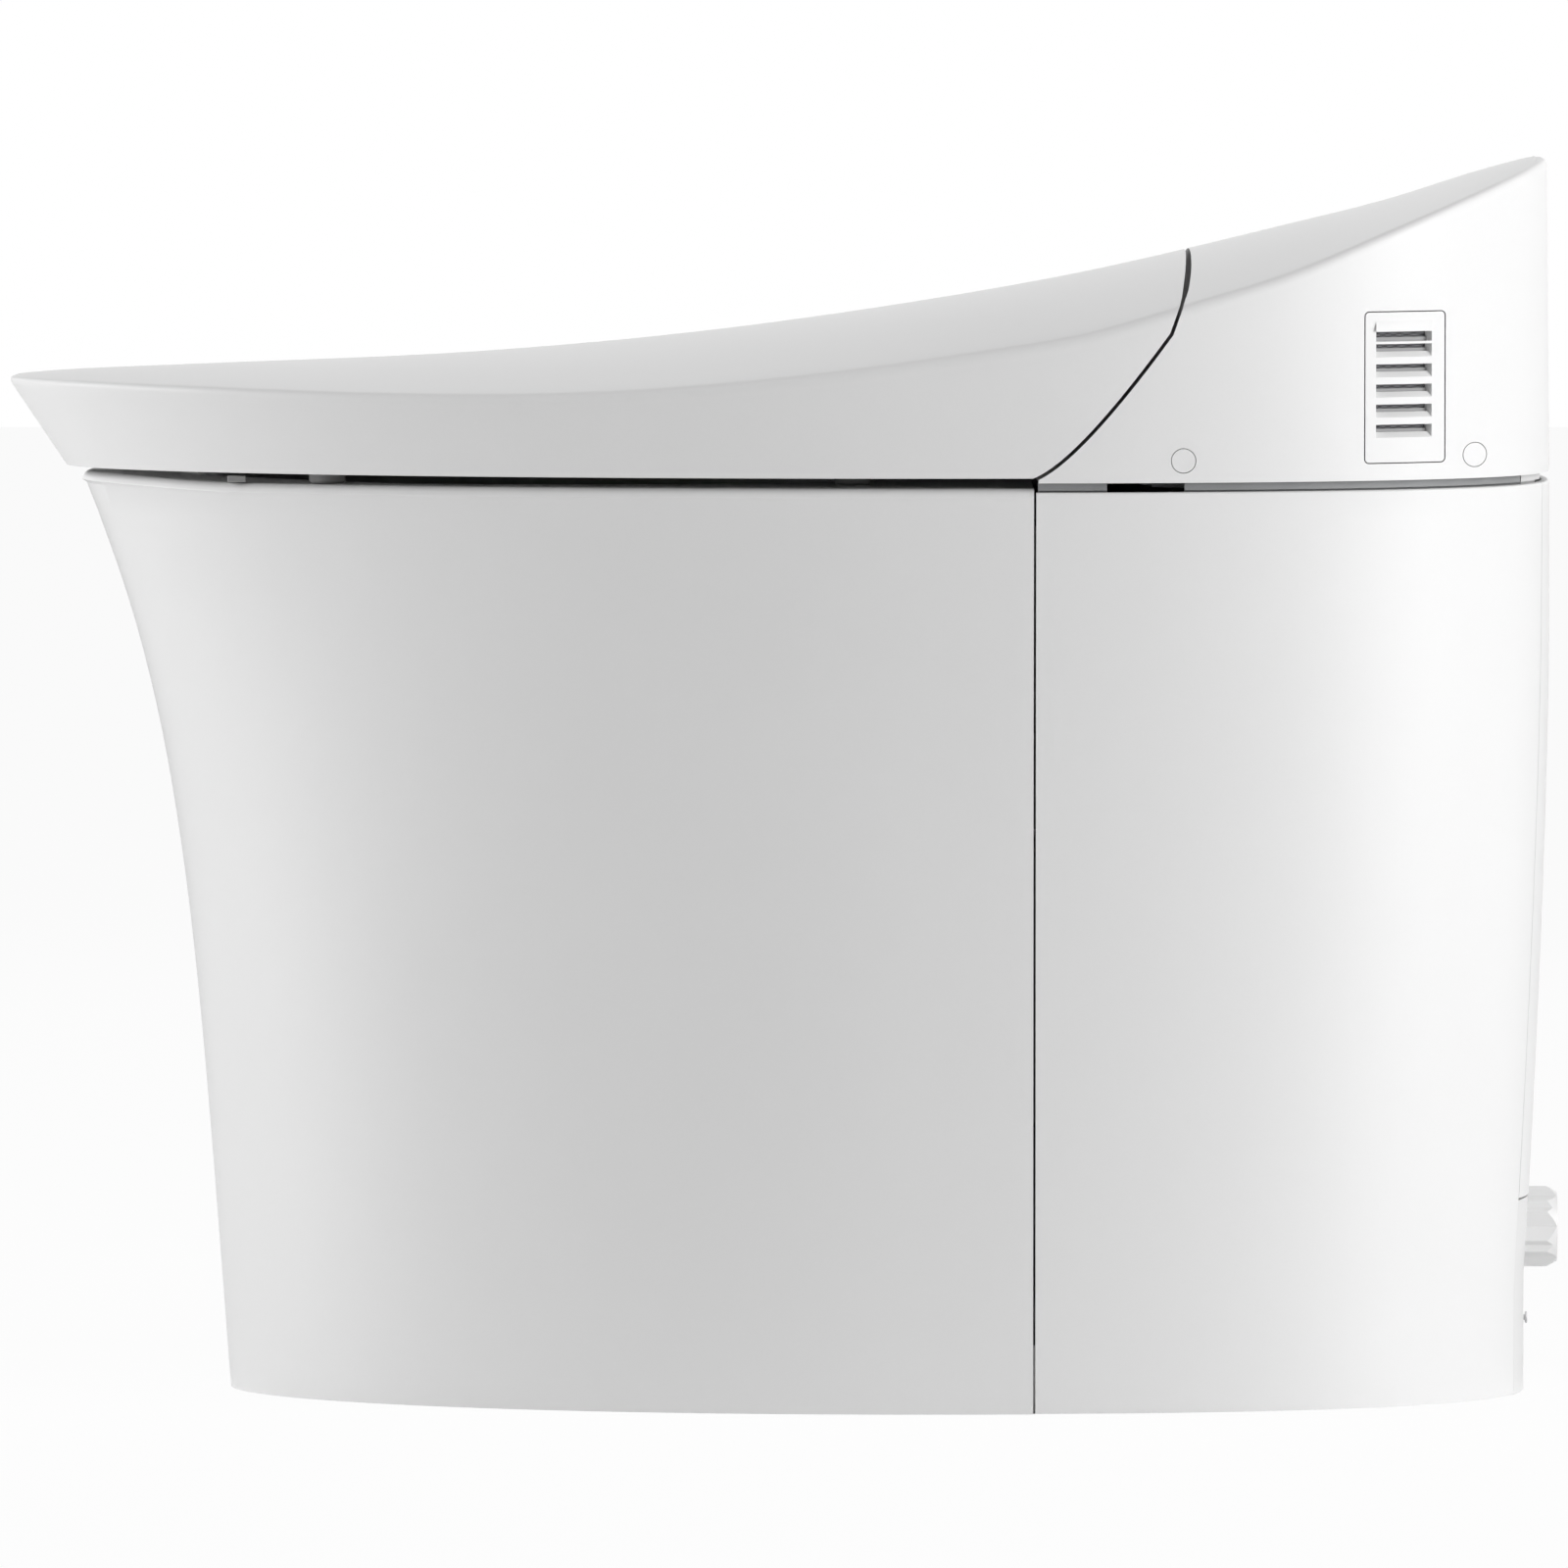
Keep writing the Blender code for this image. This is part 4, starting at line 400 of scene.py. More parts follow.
def solve(piece: bpy.types.Object, tools: Iterable[bpy.types.Object],
          operation: Operation) -> bpy.types.Object:
    """Cut, join or keep the tools in turn, apply each step and remove the tool.

    Args:
        piece: the piece that is worked on.
        tools: closed solids.
        operation: what each tool does.

    Returns:
        The same piece with its new mesh.
    """
    for tool in tools:
        step = piece.modifiers.new(operation.name, "BOOLEAN")
        step.operation = operation.value
        step.object = tool
        step.solver = "MANIFOLD"
        bpy.context.view_layer.update()
        seen = piece.evaluated_get(bpy.context.evaluated_depsgraph_get())
        mesh = bpy.data.meshes.new_from_object(seen)
        piece.modifiers.clear()
        piece.data = mesh
        bpy.data.objects.remove(tool, do_unlink=True)
    return piece


def soften(piece: bpy.types.Object, width: float) -> bpy.types.Object:
    """Round a piece's sharp corners with a live bevel, so that they catch the light.

    Args:
        piece: the piece.
        width: width of the bevel.

    Returns:
        The same piece.
    """
    bevel = piece.modifiers.new("soft_edge", "BEVEL")
    bevel.width = width
    bevel.segments = BEVEL_SEGMENTS
    bevel.limit_method = "ANGLE"
    bevel.angle_limit = BEVEL_ANGLE
    bevel.use_clamp_overlap = True
    bevel.harden_normals = True
    return piece


def block(name: str, low: Sequence[float], high: Sequence[float]) -> bpy.types.Object:
    """A tool with six flat sides.

    Args:
        name: the tool's name.
        low: its lowest corner.
        high: its highest corner.

    Returns:
        The closed solid.
    """
    (x0, y0, z0), (x1, y1, z1) = low, high
    ring = [(x0, y0), (x1, y0), (x1, y1), (x0, y1)]
    return mesh_from_grid(name, np.array([[(x, y, z) for x, y in ring] for z in (z0, z1)]))


def slab(name: str, y: Point, z: Point, half: float = BODY_REACH) -> bpy.types.Object:
    """A block over both sides of the middle, between two places along and two heights."""
    return block(name, (-half, y[0], z[0]), (half, y[1], z[1]))


def side_slab(name: str, side: int, x: Point, y: Point, z: Point) -> bpy.types.Object:
    """A block on one side of the middle, between two distances out from it."""
    low, high = sorted((side * x[0], side * x[1]))
    return block(name, (low, y[0], z[0]), (high, y[1], z[1]))


def carried_across(name: str, outline: Array, low: float, high: float) -> bpy.types.Object:
    """A solid with one side view, an outline of (y, z) points, between two places across."""
    rows = [np.column_stack((np.full(len(outline), x), outline)) for x in (low, high)]
    return mesh_from_grid(name, np.array(rows))


def turned(name: str, stations: Sequence[Point], centre: Sequence[float], axis: Sequence[float],
           steps: int = TURN_STEPS) -> bpy.types.Object:
    """A solid of revolution: circles stacked along an axis.

    Args:
        name: the solid's name.
        stations: (distance along the axis, radius) of each circle.
        centre: where the distance is 0.
        axis: direction of the axis.
        steps: points round a circle.

    Returns:
        The closed solid.
    """
    turn = np.array(Vector((0, 0, 1)).rotation_difference(Vector(axis)).to_matrix())
    angles = np.linspace(0, math.tau, steps, endpoint=False)
    rows = []
    for along, radius in stations:
        x, y = radius * np.cos(angles), radius * np.sin(angles)
        rows.append(np.stack((x, y, np.full_like(x, along)), axis=1) @ turn.T + np.array(centre))
    return mesh_from_grid(name, np.array(rows))


def rod(name: str, start: Sequence[float], end: Sequence[float], radius: float,
        steps: int = ROD_STEPS) -> bpy.types.Object:
    """A round bar between two places."""
    way = Vector(end) - Vector(start)
    return turned(name, ((0, radius), (way.length, radius)), start, way.normalized(), steps)


def wand_rod(name: str, ahead: float, radius: float) -> bpy.types.Object:
    """A round bar on the wand's slope, from ahead of its port back to the end of its room.

    Args:
        name: the bar's name.
        ahead: how far it starts before the port.
        radius: its radius.

    Returns:
        The closed solid.
    """
    way = np.array((math.cos(WAND_SLOPE), math.sin(WAND_SLOPE)))
    port = np.array(WAND_PORT)
    return rod(name, (0, *(port - ahead * way)), (0, *(port + WAND_ROOM * way)), radius)


def cap_solid(name: str, low: float, inset: float, steps: int = SURFACE_STEPS,
              crown: int = CROWN_STEPS) -> bpy.types.Object:
    """The cap form as a closed piece."""
    return mesh_from_grid(name, CAP.rings(low, inset, steps, crown), capped=False)


def cap_inside(name: str, low: float, inset: float) -> bpy.types.Object:
    """The cap form as a coarser tool for what isn't seen."""
    return cap_solid(name, low, inset, INSIDE_STEPS, INSIDE_CROWN_STEPS)


def body_solid(name: str, low: float, high: float, inset: float, edge: float = 0.0,
               steps: int = SURFACE_STEPS) -> bpy.types.Object:
    """The body form as a closed piece."""
    return mesh_from_grid(name, BODY.rings(low, high, inset, edge, steps))


def cap_wall_x(y: Array | float, z: float) -> Array:
    """How far out the cap's side wall stands: the nearest of a dense row of its straight lines.

    Args:
        y: places along the cap.
        z: the height.

    Returns:
        The distance from the middle at each place.
    """
    angles = np.linspace(math.pi / 2, math.pi, WALL_LINES)
    foot_x, foot_y = CAP.foot.points(angles)
    edge_x, edge_y = CAP.edge.points(angles)
    share = (z - CAP.foot_z) / (CAP.heights(edge_y)[0] - CAP.foot_z)
    line_x = foot_x + (edge_x - foot_x) * share
    line_y = foot_y + (edge_y - foot_y) * share
    return line_x[np.argmin(np.abs(line_y - np.asarray(y)[..., None]), axis=-1)]


@dataclass
class Seam:
    """The seam between the lid and the housing, and the trough that the lid's rear edge turns in."""

    foot_y: float = 0.1030
    pull_y: float = 0.1210
    knee: Point = (0.1678, 0.4726)
    crease: Point = (0.1732, 0.4877)
    top: Point = (0.1780, 0.5060)
    steps: int = 24
    trough_share: float = 0.92
    trough_steps: int = 25

    def line(self, grow: float) -> Array:
        """The seam in side view: a quadratic Bezier, level at first, up to the knee, and two runs.

        Args:
            grow: how far the line is moved back, square to itself.

        Returns:
            The line as (point, yz).
        """
        t = np.linspace(0, 1, self.steps + 1)
        y = (1 - t) ** 2 * self.foot_y + 2 * t * (1 - t) * self.pull_y + t ** 2 * self.knee[0]
        z = (1 - t ** 2) * CAP.foot_z + t ** 2 * self.knee[1]
        points = np.vstack((np.stack((y, z), axis=1), [self.crease, self.top]))
        along = np.gradient(points, axis=0)
        along /= np.linalg.norm(along, axis=1, keepdims=True)
        return points + grow * np.stack((along[:, 1], -along[:, 0]), axis=1)

    def trough(self, grow: float) -> bpy.types.Object:
        """The room swept by the lid's rear edge, turned about the lid's axis.

        The radius is the distance from the axis to the seam where it meets the crowned top.

        Args:
            grow: how much larger the radius is than the edge's.

        Returns:
            The closed solid.
        """
        x = np.linspace(-self.trough_share, self.trough_share, self.trough_steps) * CAP.edge.half_width
        height = CAP.surface(x / CAP.edge.half_width, np.full_like(x, self.top[0]))
        lean = (self.top[0] - self.crease[0]) / (self.top[1] - self.crease[1])
        back = self.crease[0] + (height - self.crease[1]) * lean - LID_AXIS[0]
        radius = np.hypot(back, np.maximum(height - LID_AXIS[1], 0)) + grow
        return turned("trough", list(zip(x, radius)), (0, *LID_AXIS), (1, 0, 0), ROD_STEPS)

    def space(self, name: str, grow: float) -> bpy.types.Object:
        """Everything in front of the seam, with the trough when it is grown.

        Args:
            name: the solid's name.
            grow: how far the seam is moved back.

        Returns:
            The closed solid.
        """
        reach = CAP.edge.half_width + OVERRUN
        line = self.line(grow)
        lean = (line[-1, 0] - line[-2, 0]) / (line[-1, 1] - line[-2, 1])
        front = CAP.edge.front_y - OVERRUN
        bottom = HOUSING_BOTTOM_Z - OVERRUN
        outline = np.vstack(([(front, bottom), (line[0, 0] - OVERRUN / 5, bottom)], line,
                             [(line[-1, 0] + lean * OVERRUN, CAP.peak_z), (front, CAP.peak_z)]))
        space = carried_across(name, outline, -reach, reach)
        if grow:
            solve(space, [self.trough(grow)], Operation.JOIN)
        return space


SEAM = Seam()


class Value:
    """A socket that takes part in sums, each sum adding its Math node."""

    def __init__(self, shader: "Shader", socket: Any) -> None:
        """Wrap an output socket of a shader's tree."""
        self.shader = shader
        self.socket = socket

    def _join(self, operation: str, first: Any, second: Any) -> "Value":
        """One Math node on two values."""
        return self.shader.node("ShaderNodeMath", {"operation": operation}, {0: first, 1: second})

    def __add__(self, other: Any) -> "Value":
        """self + other"""
        return self._join("ADD", self, other)

    __radd__ = __add__

    def __mul__(self, other: Any) -> "Value":
        """self * other"""
        return self._join("MULTIPLY", self, other)

    __rmul__ = __mul__

    def __sub__(self, other: Any) -> "Value":
        """self - other"""
        return self._join("SUBTRACT", self, other)

    def __rsub__(self, other: Any) -> "Value":
        """other - self"""
        return self._join("SUBTRACT", other, self)


class Shader:
    """The node tree of a material or of the world."""

    def __init__(self, owner: Any, surface: str = "Principled BSDF") -> None:
        """Start with the nodes that a new material or world has.

        Args:
            owner: the material or world.
            surface: name of its shader node.
        """
        owner.use_nodes = True
        self.owner = owner
        self.tree = owner.node_tree
        self.surface = self.tree.nodes[surface]

    def node(self, kind: str, settings: dict[str, Any] | None = None, inputs: dict[Any, Any] | None = None,
             output: Any = 0) -> Value:
        """Add a node.

        Args:
            kind: the node's type.
            settings: attributes, which are set first.
            inputs: values or links by socket.
            output: the socket to hand back.

        Returns:
            The wrapped output.
        """
        made = self.tree.nodes.new(kind)
        for key, value in (settings or {}).items():
            setattr(made, key, value)
        for key, value in (inputs or {}).items():
            self.feed(made.inputs[key], value)
        return Value(self, made.outputs[output])

    def mix(self, share: Any, first: Any, second: Any) -> Value:
        """Blend two colours."""
        return self.node("ShaderNodeMix", {"data_type": "RGBA"}, {0: share, 6: first, 7: second}, output=2)

    def feed(self, socket: Any, value: Any) -> None:
        """Link or set one input.

        Args:
            socket: the input.
            value: a wrapped output, or the value itself.
        """
        if isinstance(value, Value):
            self.tree.links.new(value.socket, socket)
        else:
            socket.default_value = value

    def set(self, key: str, value: Any) -> None:
        """Link or set one input of the tree's own shader."""
        self.feed(self.surface.inputs[key], value)


@dataclass(frozen=True)
class Finish:
    """A moulded, glazed or metal surface with slow colour drift, fine speckle and a small bump."""

    name: str
    slot: str
    color: tuple[float, float, float]
    roughness: float
    drift: float = 0.010
    drift_scale: float = 9.0
    drift_detail: float = 3.0
    grain: float = 0.006
    grain_scale: float = 900.0
    fine_detail: float = 2.0
    roughness_drift: float = 0.02
    bump: float = 0.02
    bump_scale: float = 240.0
    bump_depth: float = 0.0006
    bump_shares: Point = (0.7, 0.3)
    coat: float = 0.0
    coat_roughness: float = 0.04
    metallic: float = 0.0
    specular: float = 0.5
    stretch: float = 1.0
    mesh: float = 0.0
    thread_gain: float = 6.0

    def shade(self, change: float = 0.0, gain: float = 1.0) -> tuple[float, ...]:
        """The colour, times a gain and lighter or darker by a change, as RGBA."""
        return tuple(min(max(c * gain + change, 0), 1) for c in self.color) + (1.0,)

    def noise(self, shader: Shader, place: Value, scale: float, detail: float) -> Value:
        """One noise over the surface."""
        return shader.node("ShaderNodeTexNoise", {}, {"Vector": place, "Scale": scale, "Detail": detail})

    def material(self) -> bpy.types.Material:
        """Build the node tree.

        The colour runs from darker to lighter by a sum of slow and fine noise, the roughness
        drifts with the slow noise, and a sum of middle and fine noise gives the bump.

        Returns:
            The material.
        """
        shader = Shader(bpy.data.materials.new(self.name))
        place = shader.node("ShaderNodeTexCoord", output="Object")
        mapped = shader.node("ShaderNodeMapping", {}, {"Vector": place, "Scale": (1.0, 1.0, self.stretch)})
        slow = self.noise(shader, place, self.drift_scale, self.drift_detail)
        fine = self.noise(shader, mapped, self.grain_scale, self.fine_detail)
        middle = self.noise(shader, mapped, self.bump_scale, self.fine_detail)
        total = self.drift + self.grain
        blend = slow * (self.drift / total) + fine * (self.grain / total)
        color = shader.mix(blend, self.shade(-total), self.shade(total))
        if self.mesh:
            pattern = {"Vector": place, "Scale": 1 / self.mesh}
            threads = shader.node("ShaderNodeTexChecker", {}, pattern, output="Fac")
            color = shader.mix(threads, color, self.shade(gain=self.thread_gain))
        shader.set("Base Color", color)
        shader.set("Roughness", (slow - 0.5) * (2 * self.roughness_drift) + self.roughness)
        height = middle * self.bump_shares[0] + fine * self.bump_shares[1]
        shader.set("Normal", shader.node("ShaderNodeBump", {}, {
            "Strength": self.bump, "Distance": self.bump_depth, "Height": height}))
        shader.set("Metallic", self.metallic)
        shader.set("Coat Weight", self.coat)
        shader.set("Coat Roughness", self.coat_roughness)
        shader.set("Specular IOR Level", self.specular)
        return shader.owner


class Looks(Enum):
    """The finishes of this toilet."""

    GLAZE = Finish("white_glaze", "glazed_ceramic", (0.80, 0.80, 0.80), 0.30, coat=0.15, bump=0.03,
                   bump_scale=60.0)
    SHELL = Finish("white_gloss_shell", "white_shell", (0.81, 0.81, 0.81), 0.42, specular=0.35)
    PANEL = Finish("white_panel", "white_shell", (0.81, 0.81, 0.81), 0.38, specular=0.4, drift_scale=7.0)
    LID = Finish("white_lid", "white_shell", (0.805, 0.805, 0.805), 0.42, specular=0.3, drift_scale=11.0)
    SEAT = Finish("white_seat_moulding", "white_seat", (0.79, 0.79, 0.785), 0.34)
    CHASSIS = Finish("grey_moulding", "chassis", (0.26, 0.265, 0.27), 0.55, bump=0.08, bump_scale=600.0)
    # Mid-grey bars behind the slots: painted shade, a grey band where the blades shade the slots.
    FRAME = Finish("painted_shade_filter_bars", "dark_plastic", (0.33, 0.33, 0.335), 0.6, bump=0.06, bump_scale=600.0)
    # The deck's rear end, paler than the chassis grey: painted light where the end of the gap is lit.
    PAINTED_LIGHT_DECK_END = Finish("deck_end_painted_light", "chassis", (0.66, 0.66, 0.66), 0.5, bump=0.05, bump_scale=600.0)
    NUT = Finish("pale_nut", "white_shell", (0.77, 0.77, 0.77), 0.38, specular=0.45)
    INNER = Finish("pale_moulding", "inner_white", (0.70, 0.70, 0.69), 0.45)
    DARK = Finish("black_moulding", "dark_plastic", (0.035, 0.035, 0.038), 0.6, drift=0.006, grain=0.004)
    MESH = Finish("filter_mesh", "dark_plastic", (0.028, 0.028, 0.03), 0.7, drift=0.004, grain=0.003,
                  mesh=0.0008)
    RUBBER = Finish("soft_grey_rubber", "soft_rubber", (0.30, 0.30, 0.30), 0.8, bump=0.15, bump_scale=700.0)
    STEEL = Finish("brushed_steel", "steel", (0.60, 0.60, 0.61), 0.32, metallic=1.0, stretch=30.0, bump=0.05)


class Painter:
    """Makes each finish once and dresses pieces with it."""

    def __init__(self) -> None:
        """Build every finish."""
        self.materials = {look: look.value.material() for look in Looks}

    def stand_for(self, piece: bpy.types.Object, look: Looks, body: str, *nodes: str) -> None:
        """Dress a made piece, let it ride on a body and stand for its nodes.

        Args:
            piece: the piece.
            look: its finish all over.
            body: the body that carries it.
            nodes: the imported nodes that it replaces.
        """
        piece.data.materials.clear()
        piece.data.materials.append(self.materials[look])
        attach(piece, body)
        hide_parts(*nodes)
        LOG.info("%s: %d faces, rides on %s", piece.name, len(piece.data.polygons), body)


class SubAssembly(Protocol):
    """What the main function builds."""

    def build(self, painter: Painter) -> None:
        """Make the meshes and dress them."""


@dataclass
class CeramicBase:
    """The one-piece casting with its bowl, trapway, wand notch, foot and rear bulkhead.

    The levels are rows of (share of the height, share of the width, share of the length) of the
    bowl, and the route is the trapway's middle line as (y, z).
    """

    rear_y: float = SPLIT_Y
    wall: float = 0.012
    rim_depth: float = 0.034
    rim_edge: float = 0.0055
    nose: Point = (-0.240, -0.3110)
    nose_low: float = 0.370
    nose_lift: float = 0.0024
    bowl_half: float = 0.140
    bowl_front: float = -0.260
    bowl_rear: float = 0.064
    bowl_wall: float = 0.010
    bowl_rings: int = 40
    bowl_steps: int = 128
    centred_share: float = 0.9
    sump: Point = (-0.048, 0.095)
    levels: Table = ((0.0, 0.20, 0.17), (0.06, 0.27, 0.23), (0.22, 0.34, 0.29), (0.40, 0.50, 0.46),
                     (0.60, 0.71, 0.68), (0.78, 0.89, 0.88), (0.90, 0.98, 0.975), (1.0, 1.0, 1.0))
    bore: float = 0.027
    pipe_wall: float = 0.006
    span_steps: int = 6
    keep_start: int = 6
    rear_start: int = 24
    route: Table = ((-0.048, 0.125), (-0.012, 0.112), (0.034, 0.128), (0.072, 0.172), (0.114, 0.214),
                    (0.158, 0.196), (0.168, 0.148), (0.140, 0.096), (0.090, 0.066), (0.052, 0.040),
                    (0.044, 0.0))
    outlet_y: float = 0.044
    horn_radius: float = 0.060
    horn_height: float = 0.032
    gasket_radius: float = 0.0513
    gasket_height: float = 0.0133
    foot_height: float = 0.030
    bulkhead: Point = (0.300, 0.314)
    window_half: float = 0.052
    window_z: Point = (0.100, 0.330)
    deck_seat: float = 0.3880
    ledge_half: float = 0.165
    ledge_reach: float = 0.018
    ledge_depth: float = 0.026
    notch_half: float = 0.022
    notch_low: float = 0.3785
    wand_ahead: float = 0.125
    wand_bore: float = 0.0105
    inlet_bore: float = 0.0118
    screw_x: float = 0.010
    screw_z: float = 0.0309
    screw_depth: float = 0.011
    screw_bore: float = 0.0016
    screw_steps: int = 16
    bolt_x: float = 0.140
    bolt_y: float = 0.150
    bolt_height: float = 0.050
    bolt_bore: float = 0.0038

    def raise_nose(self, casting: bpy.types.Object) -> None:
        """Lift the front of the rim.

        The lift grows as a smooth step towards the front tip and towards the rim's top.

        Args:
            casting: the finished casting, whose points are moved.
        """
        count = len(casting.data.vertices)
        places = np.empty(count * 3)
        casting.data.vertices.foreach_get("co", places)
        places = places.reshape(count, 3)
        ahead = np.clip((self.nose[0] - places[:, 1]) / (self.nose[0] - self.nose[1]), 0, 1)
        up = np.clip((places[:, 2] - self.nose_low) / (BODY.rim_z - self.nose_low), 0, 1)
        places[:, 2] += self.nose_lift * ahead ** 2 * (3 - 2 * ahead) * up ** 2 * (3 - 2 * up)
        casting.data.vertices.foreach_set("co", places.ravel())

    def bowl(self, name: str, grow: float, top: float) -> bpy.types.Object:
        """The bowl's inside as stacked ellipses, its width and length read from smooth tables.

        The middle of the ellipses runs straight from the sump to the middle of the bowl.

        Args:
            name: the solid's name.
            grow: how much larger it is than the bowl.
            top: height of its top.

        Returns:
            The closed solid.
        """
        share = np.linspace(0, 1, self.bowl_rings)
        table = np.array(self.levels)
        width = self.bowl_half * smooth_curve(share, table[:, (0, 1)]) + grow
        length = (self.bowl_rear - self.bowl_front) / 2 * smooth_curve(share, table[:, (0, 2)]) + grow
        z = self.sump[1] - grow + (top - self.sump[1] + grow) * share
        middle = (self.bowl_front + self.bowl_rear) / 2
        y = self.sump[0] + (middle - self.sump[0]) * np.minimum(share / self.centred_share, 1)
        angles = np.linspace(0, math.tau, self.bowl_steps, endpoint=False)
        rows = np.stack((width[:, None] * np.sin(angles), y[:, None] - length[:, None] * np.cos(angles),
                         np.repeat(z[:, None], self.bowl_steps, axis=1)), axis=2)
        return mesh_from_grid(name, rows)

    def pipe(self, name: str, start: int, radius: float, drop: bool) -> bpy.types.Object:
        """The trapway: circles square to a Catmull-Rom curve through the route.

        Args:
            name: the solid's name.
            start: the step of the curve at which it starts.
            radius: its radius.
            drop: whether it runs on down through the floor.

        Returns:
            The closed solid.
        """
        points = np.array(self.route)
        ends = np.vstack((2 * points[0] - points[1], points, 2 * points[-1] - points[-2]))
        t = np.linspace(0, 1, self.span_steps, endpoint=False)[None, :, None]
        before, first, after, last = (ends[i:len(ends) - 3 + i, None, :] for i in range(4))
        line = 0.5 * (2 * first + (after - before) * t + (2 * before - 5 * first + 4 * after - last) * t ** 2
                      + (3 * first - before - 3 * after + last) * t ** 3)
        line = np.vstack((line.reshape(-1, 2), points[-1:]))[start:]
        if drop:
            line = np.vstack((line, [(self.outlet_y, -OVERRUN)]))
        way = np.gradient(line, axis=0)
        way /= np.linalg.norm(way, axis=1, keepdims=True)
        angles = np.linspace(0, math.tau, ROD_STEPS, endpoint=False)
        x = np.repeat((radius * np.cos(angles))[None, :], len(line), axis=0)
        y = line[:, None, 0] + radius * np.sin(angles) * -way[:, None, 1]
        z = line[:, None, 1] + radius * np.sin(angles) * way[:, None, 0]
        return mesh_from_grid(name, np.stack((x, y, z), axis=2))

    def shell(self) -> bpy.types.Object:
        """The flared outside, cut off behind and hollowed out round the bowl and the trapway.

        Returns:
            The shell.
        """
        body = body_solid("ceramic_fine", 0, BODY.rim_z, 0, self.rim_edge)
        solve(body, [slab("rear_cut", (self.rear_y, FAR_Y), (-OVERRUN, BODY.rim_z + OVERRUN))], Operation.CUT)
        hollow = body_solid("hollow", -OVERRUN, BODY.rim_z - self.rim_depth, self.wall, steps=INSIDE_STEPS)
        kept = [slab("back", (self.rear_y - self.wall, FAR_Y), (-2 * OVERRUN, BODY.rim_z)),
                self.bowl("bowl_keep", self.bowl_wall, BODY.rim_z - self.rim_depth / 2),
                self.pipe("trap_keep", self.keep_start, self.bore + self.pipe_wall, True)]
        solve(hollow, kept, Operation.CUT)
        return solve(body, [hollow], Operation.CUT)

    def framework(self) -> list[bpy.types.Object]:
        """The rear foot, its upstand, the bulkhead and the ledge that carries the deck.

        Returns:
            Closed solids to join to the shell.
        """
        front = self.rear_y - self.wall / 2
        low, high = self.bulkhead
        foot = body_solid("foot", 0, self.foot_height, PANEL_WALL + FINE_GAP)
        solve(foot, [slab("foot_front", (-2 * BODY_REACH, front), (-OVERRUN, BODY.rim_z))], Operation.CUT)
        bulkhead = body_solid("bulkhead", self.foot_height / 2, self.deck_seat, PANEL_WALL + 2 * FINE_GAP)
        solve(bulkhead, [slab("slice", (low, high + FINE_GAP), (0, BODY.rim_z))], Operation.KEEP)
        top = STRIP_BOTTOM - PANEL_GAP
        upstand = body_solid("upstand", 0, top, FINE_GAP)
        middle = slab("middle", (high, FAR_Y), (-OVERRUN, top + OVERRUN), STRIP_HALF - PANEL_GAP)
        solve(upstand, [middle], Operation.KEEP)
        ledge = slab("ledge", (front, self.rear_y + self.ledge_reach),
                     (self.deck_seat - self.ledge_depth, self.deck_seat), self.ledge_half)
        return [foot, upstand, bulkhead, ledge]

    def openings(self) -> list[bpy.types.Object]:
        """The bowl, the trapway's bore, and the ways of the wand, inlet, gasket, screw and bolts.

        Returns:
            Closed solids to cut with.
        """
        x, z = INLET
        notch_y = (self.bowl_rear - OVERRUN, self.rear_y + self.ledge_reach + FINE_GAP)
        screw = (self.screw_x, BODY.floor_rear - self.screw_depth, self.screw_z)
        screw_end = (self.screw_x, FAR_Y, self.screw_z)
        cuts = [self.bowl("bowl", 0, BODY.rim_z + FINE_GAP),
                self.pipe("trap_bore", 0, self.bore, True),
                rod("gasket_seat", (0, self.outlet_y, -OVERRUN), (0, self.outlet_y, self.gasket_height),
                    self.gasket_radius),
                slab("wand_notch", notch_y, (self.notch_low, BODY.rim_z + OVERRUN), self.notch_half),
                wand_rod("wand_way", self.wand_ahead, self.wand_bore),
                rod("inlet_hole", (x, self.bulkhead[0] - OVERRUN, z), (x, FAR_Y, z), self.inlet_bore),
                rod("screw_hole", screw, screw_end, self.screw_bore, self.screw_steps)]
        for x in (-self.bolt_x, self.bolt_x):
            cuts.append(rod("bolt_hole", (x, self.bolt_y, -OVERRUN), (x, self.bolt_y, self.bolt_height),
                            self.bolt_bore, HOLE_STEPS))
        return cuts

    def build(self, painter: Painter) -> None:
        """Cast the shell with its rear framework, cut the openings and glaze it.

        Args:
            painter: dresses the pieces and lets them ride on their bodies.
        """
        body = self.shell()
        solve(body, self.framework(), Operation.JOIN)
        low, high = self.bulkhead
        window = slab("window", (low - OVERRUN, high + OVERRUN), self.window_z, self.window_half)
        solve(body, [window], Operation.CUT)
        radius = self.bore + self.pipe_wall + FINE_GAP
        horn = rod("horn", (0, self.outlet_y, 0), (0, self.outlet_y, self.horn_height), self.horn_radius)
        solve(body, [self.pipe("trap_rear", self.rear_start, radius, False), horn], Operation.JOIN)
        solve(body, self.openings(), Operation.CUT)
        self.raise_nose(body)
        painter.stand_for(smooth_shade(body), Looks.GLAZE, "base", "ceramic_base")


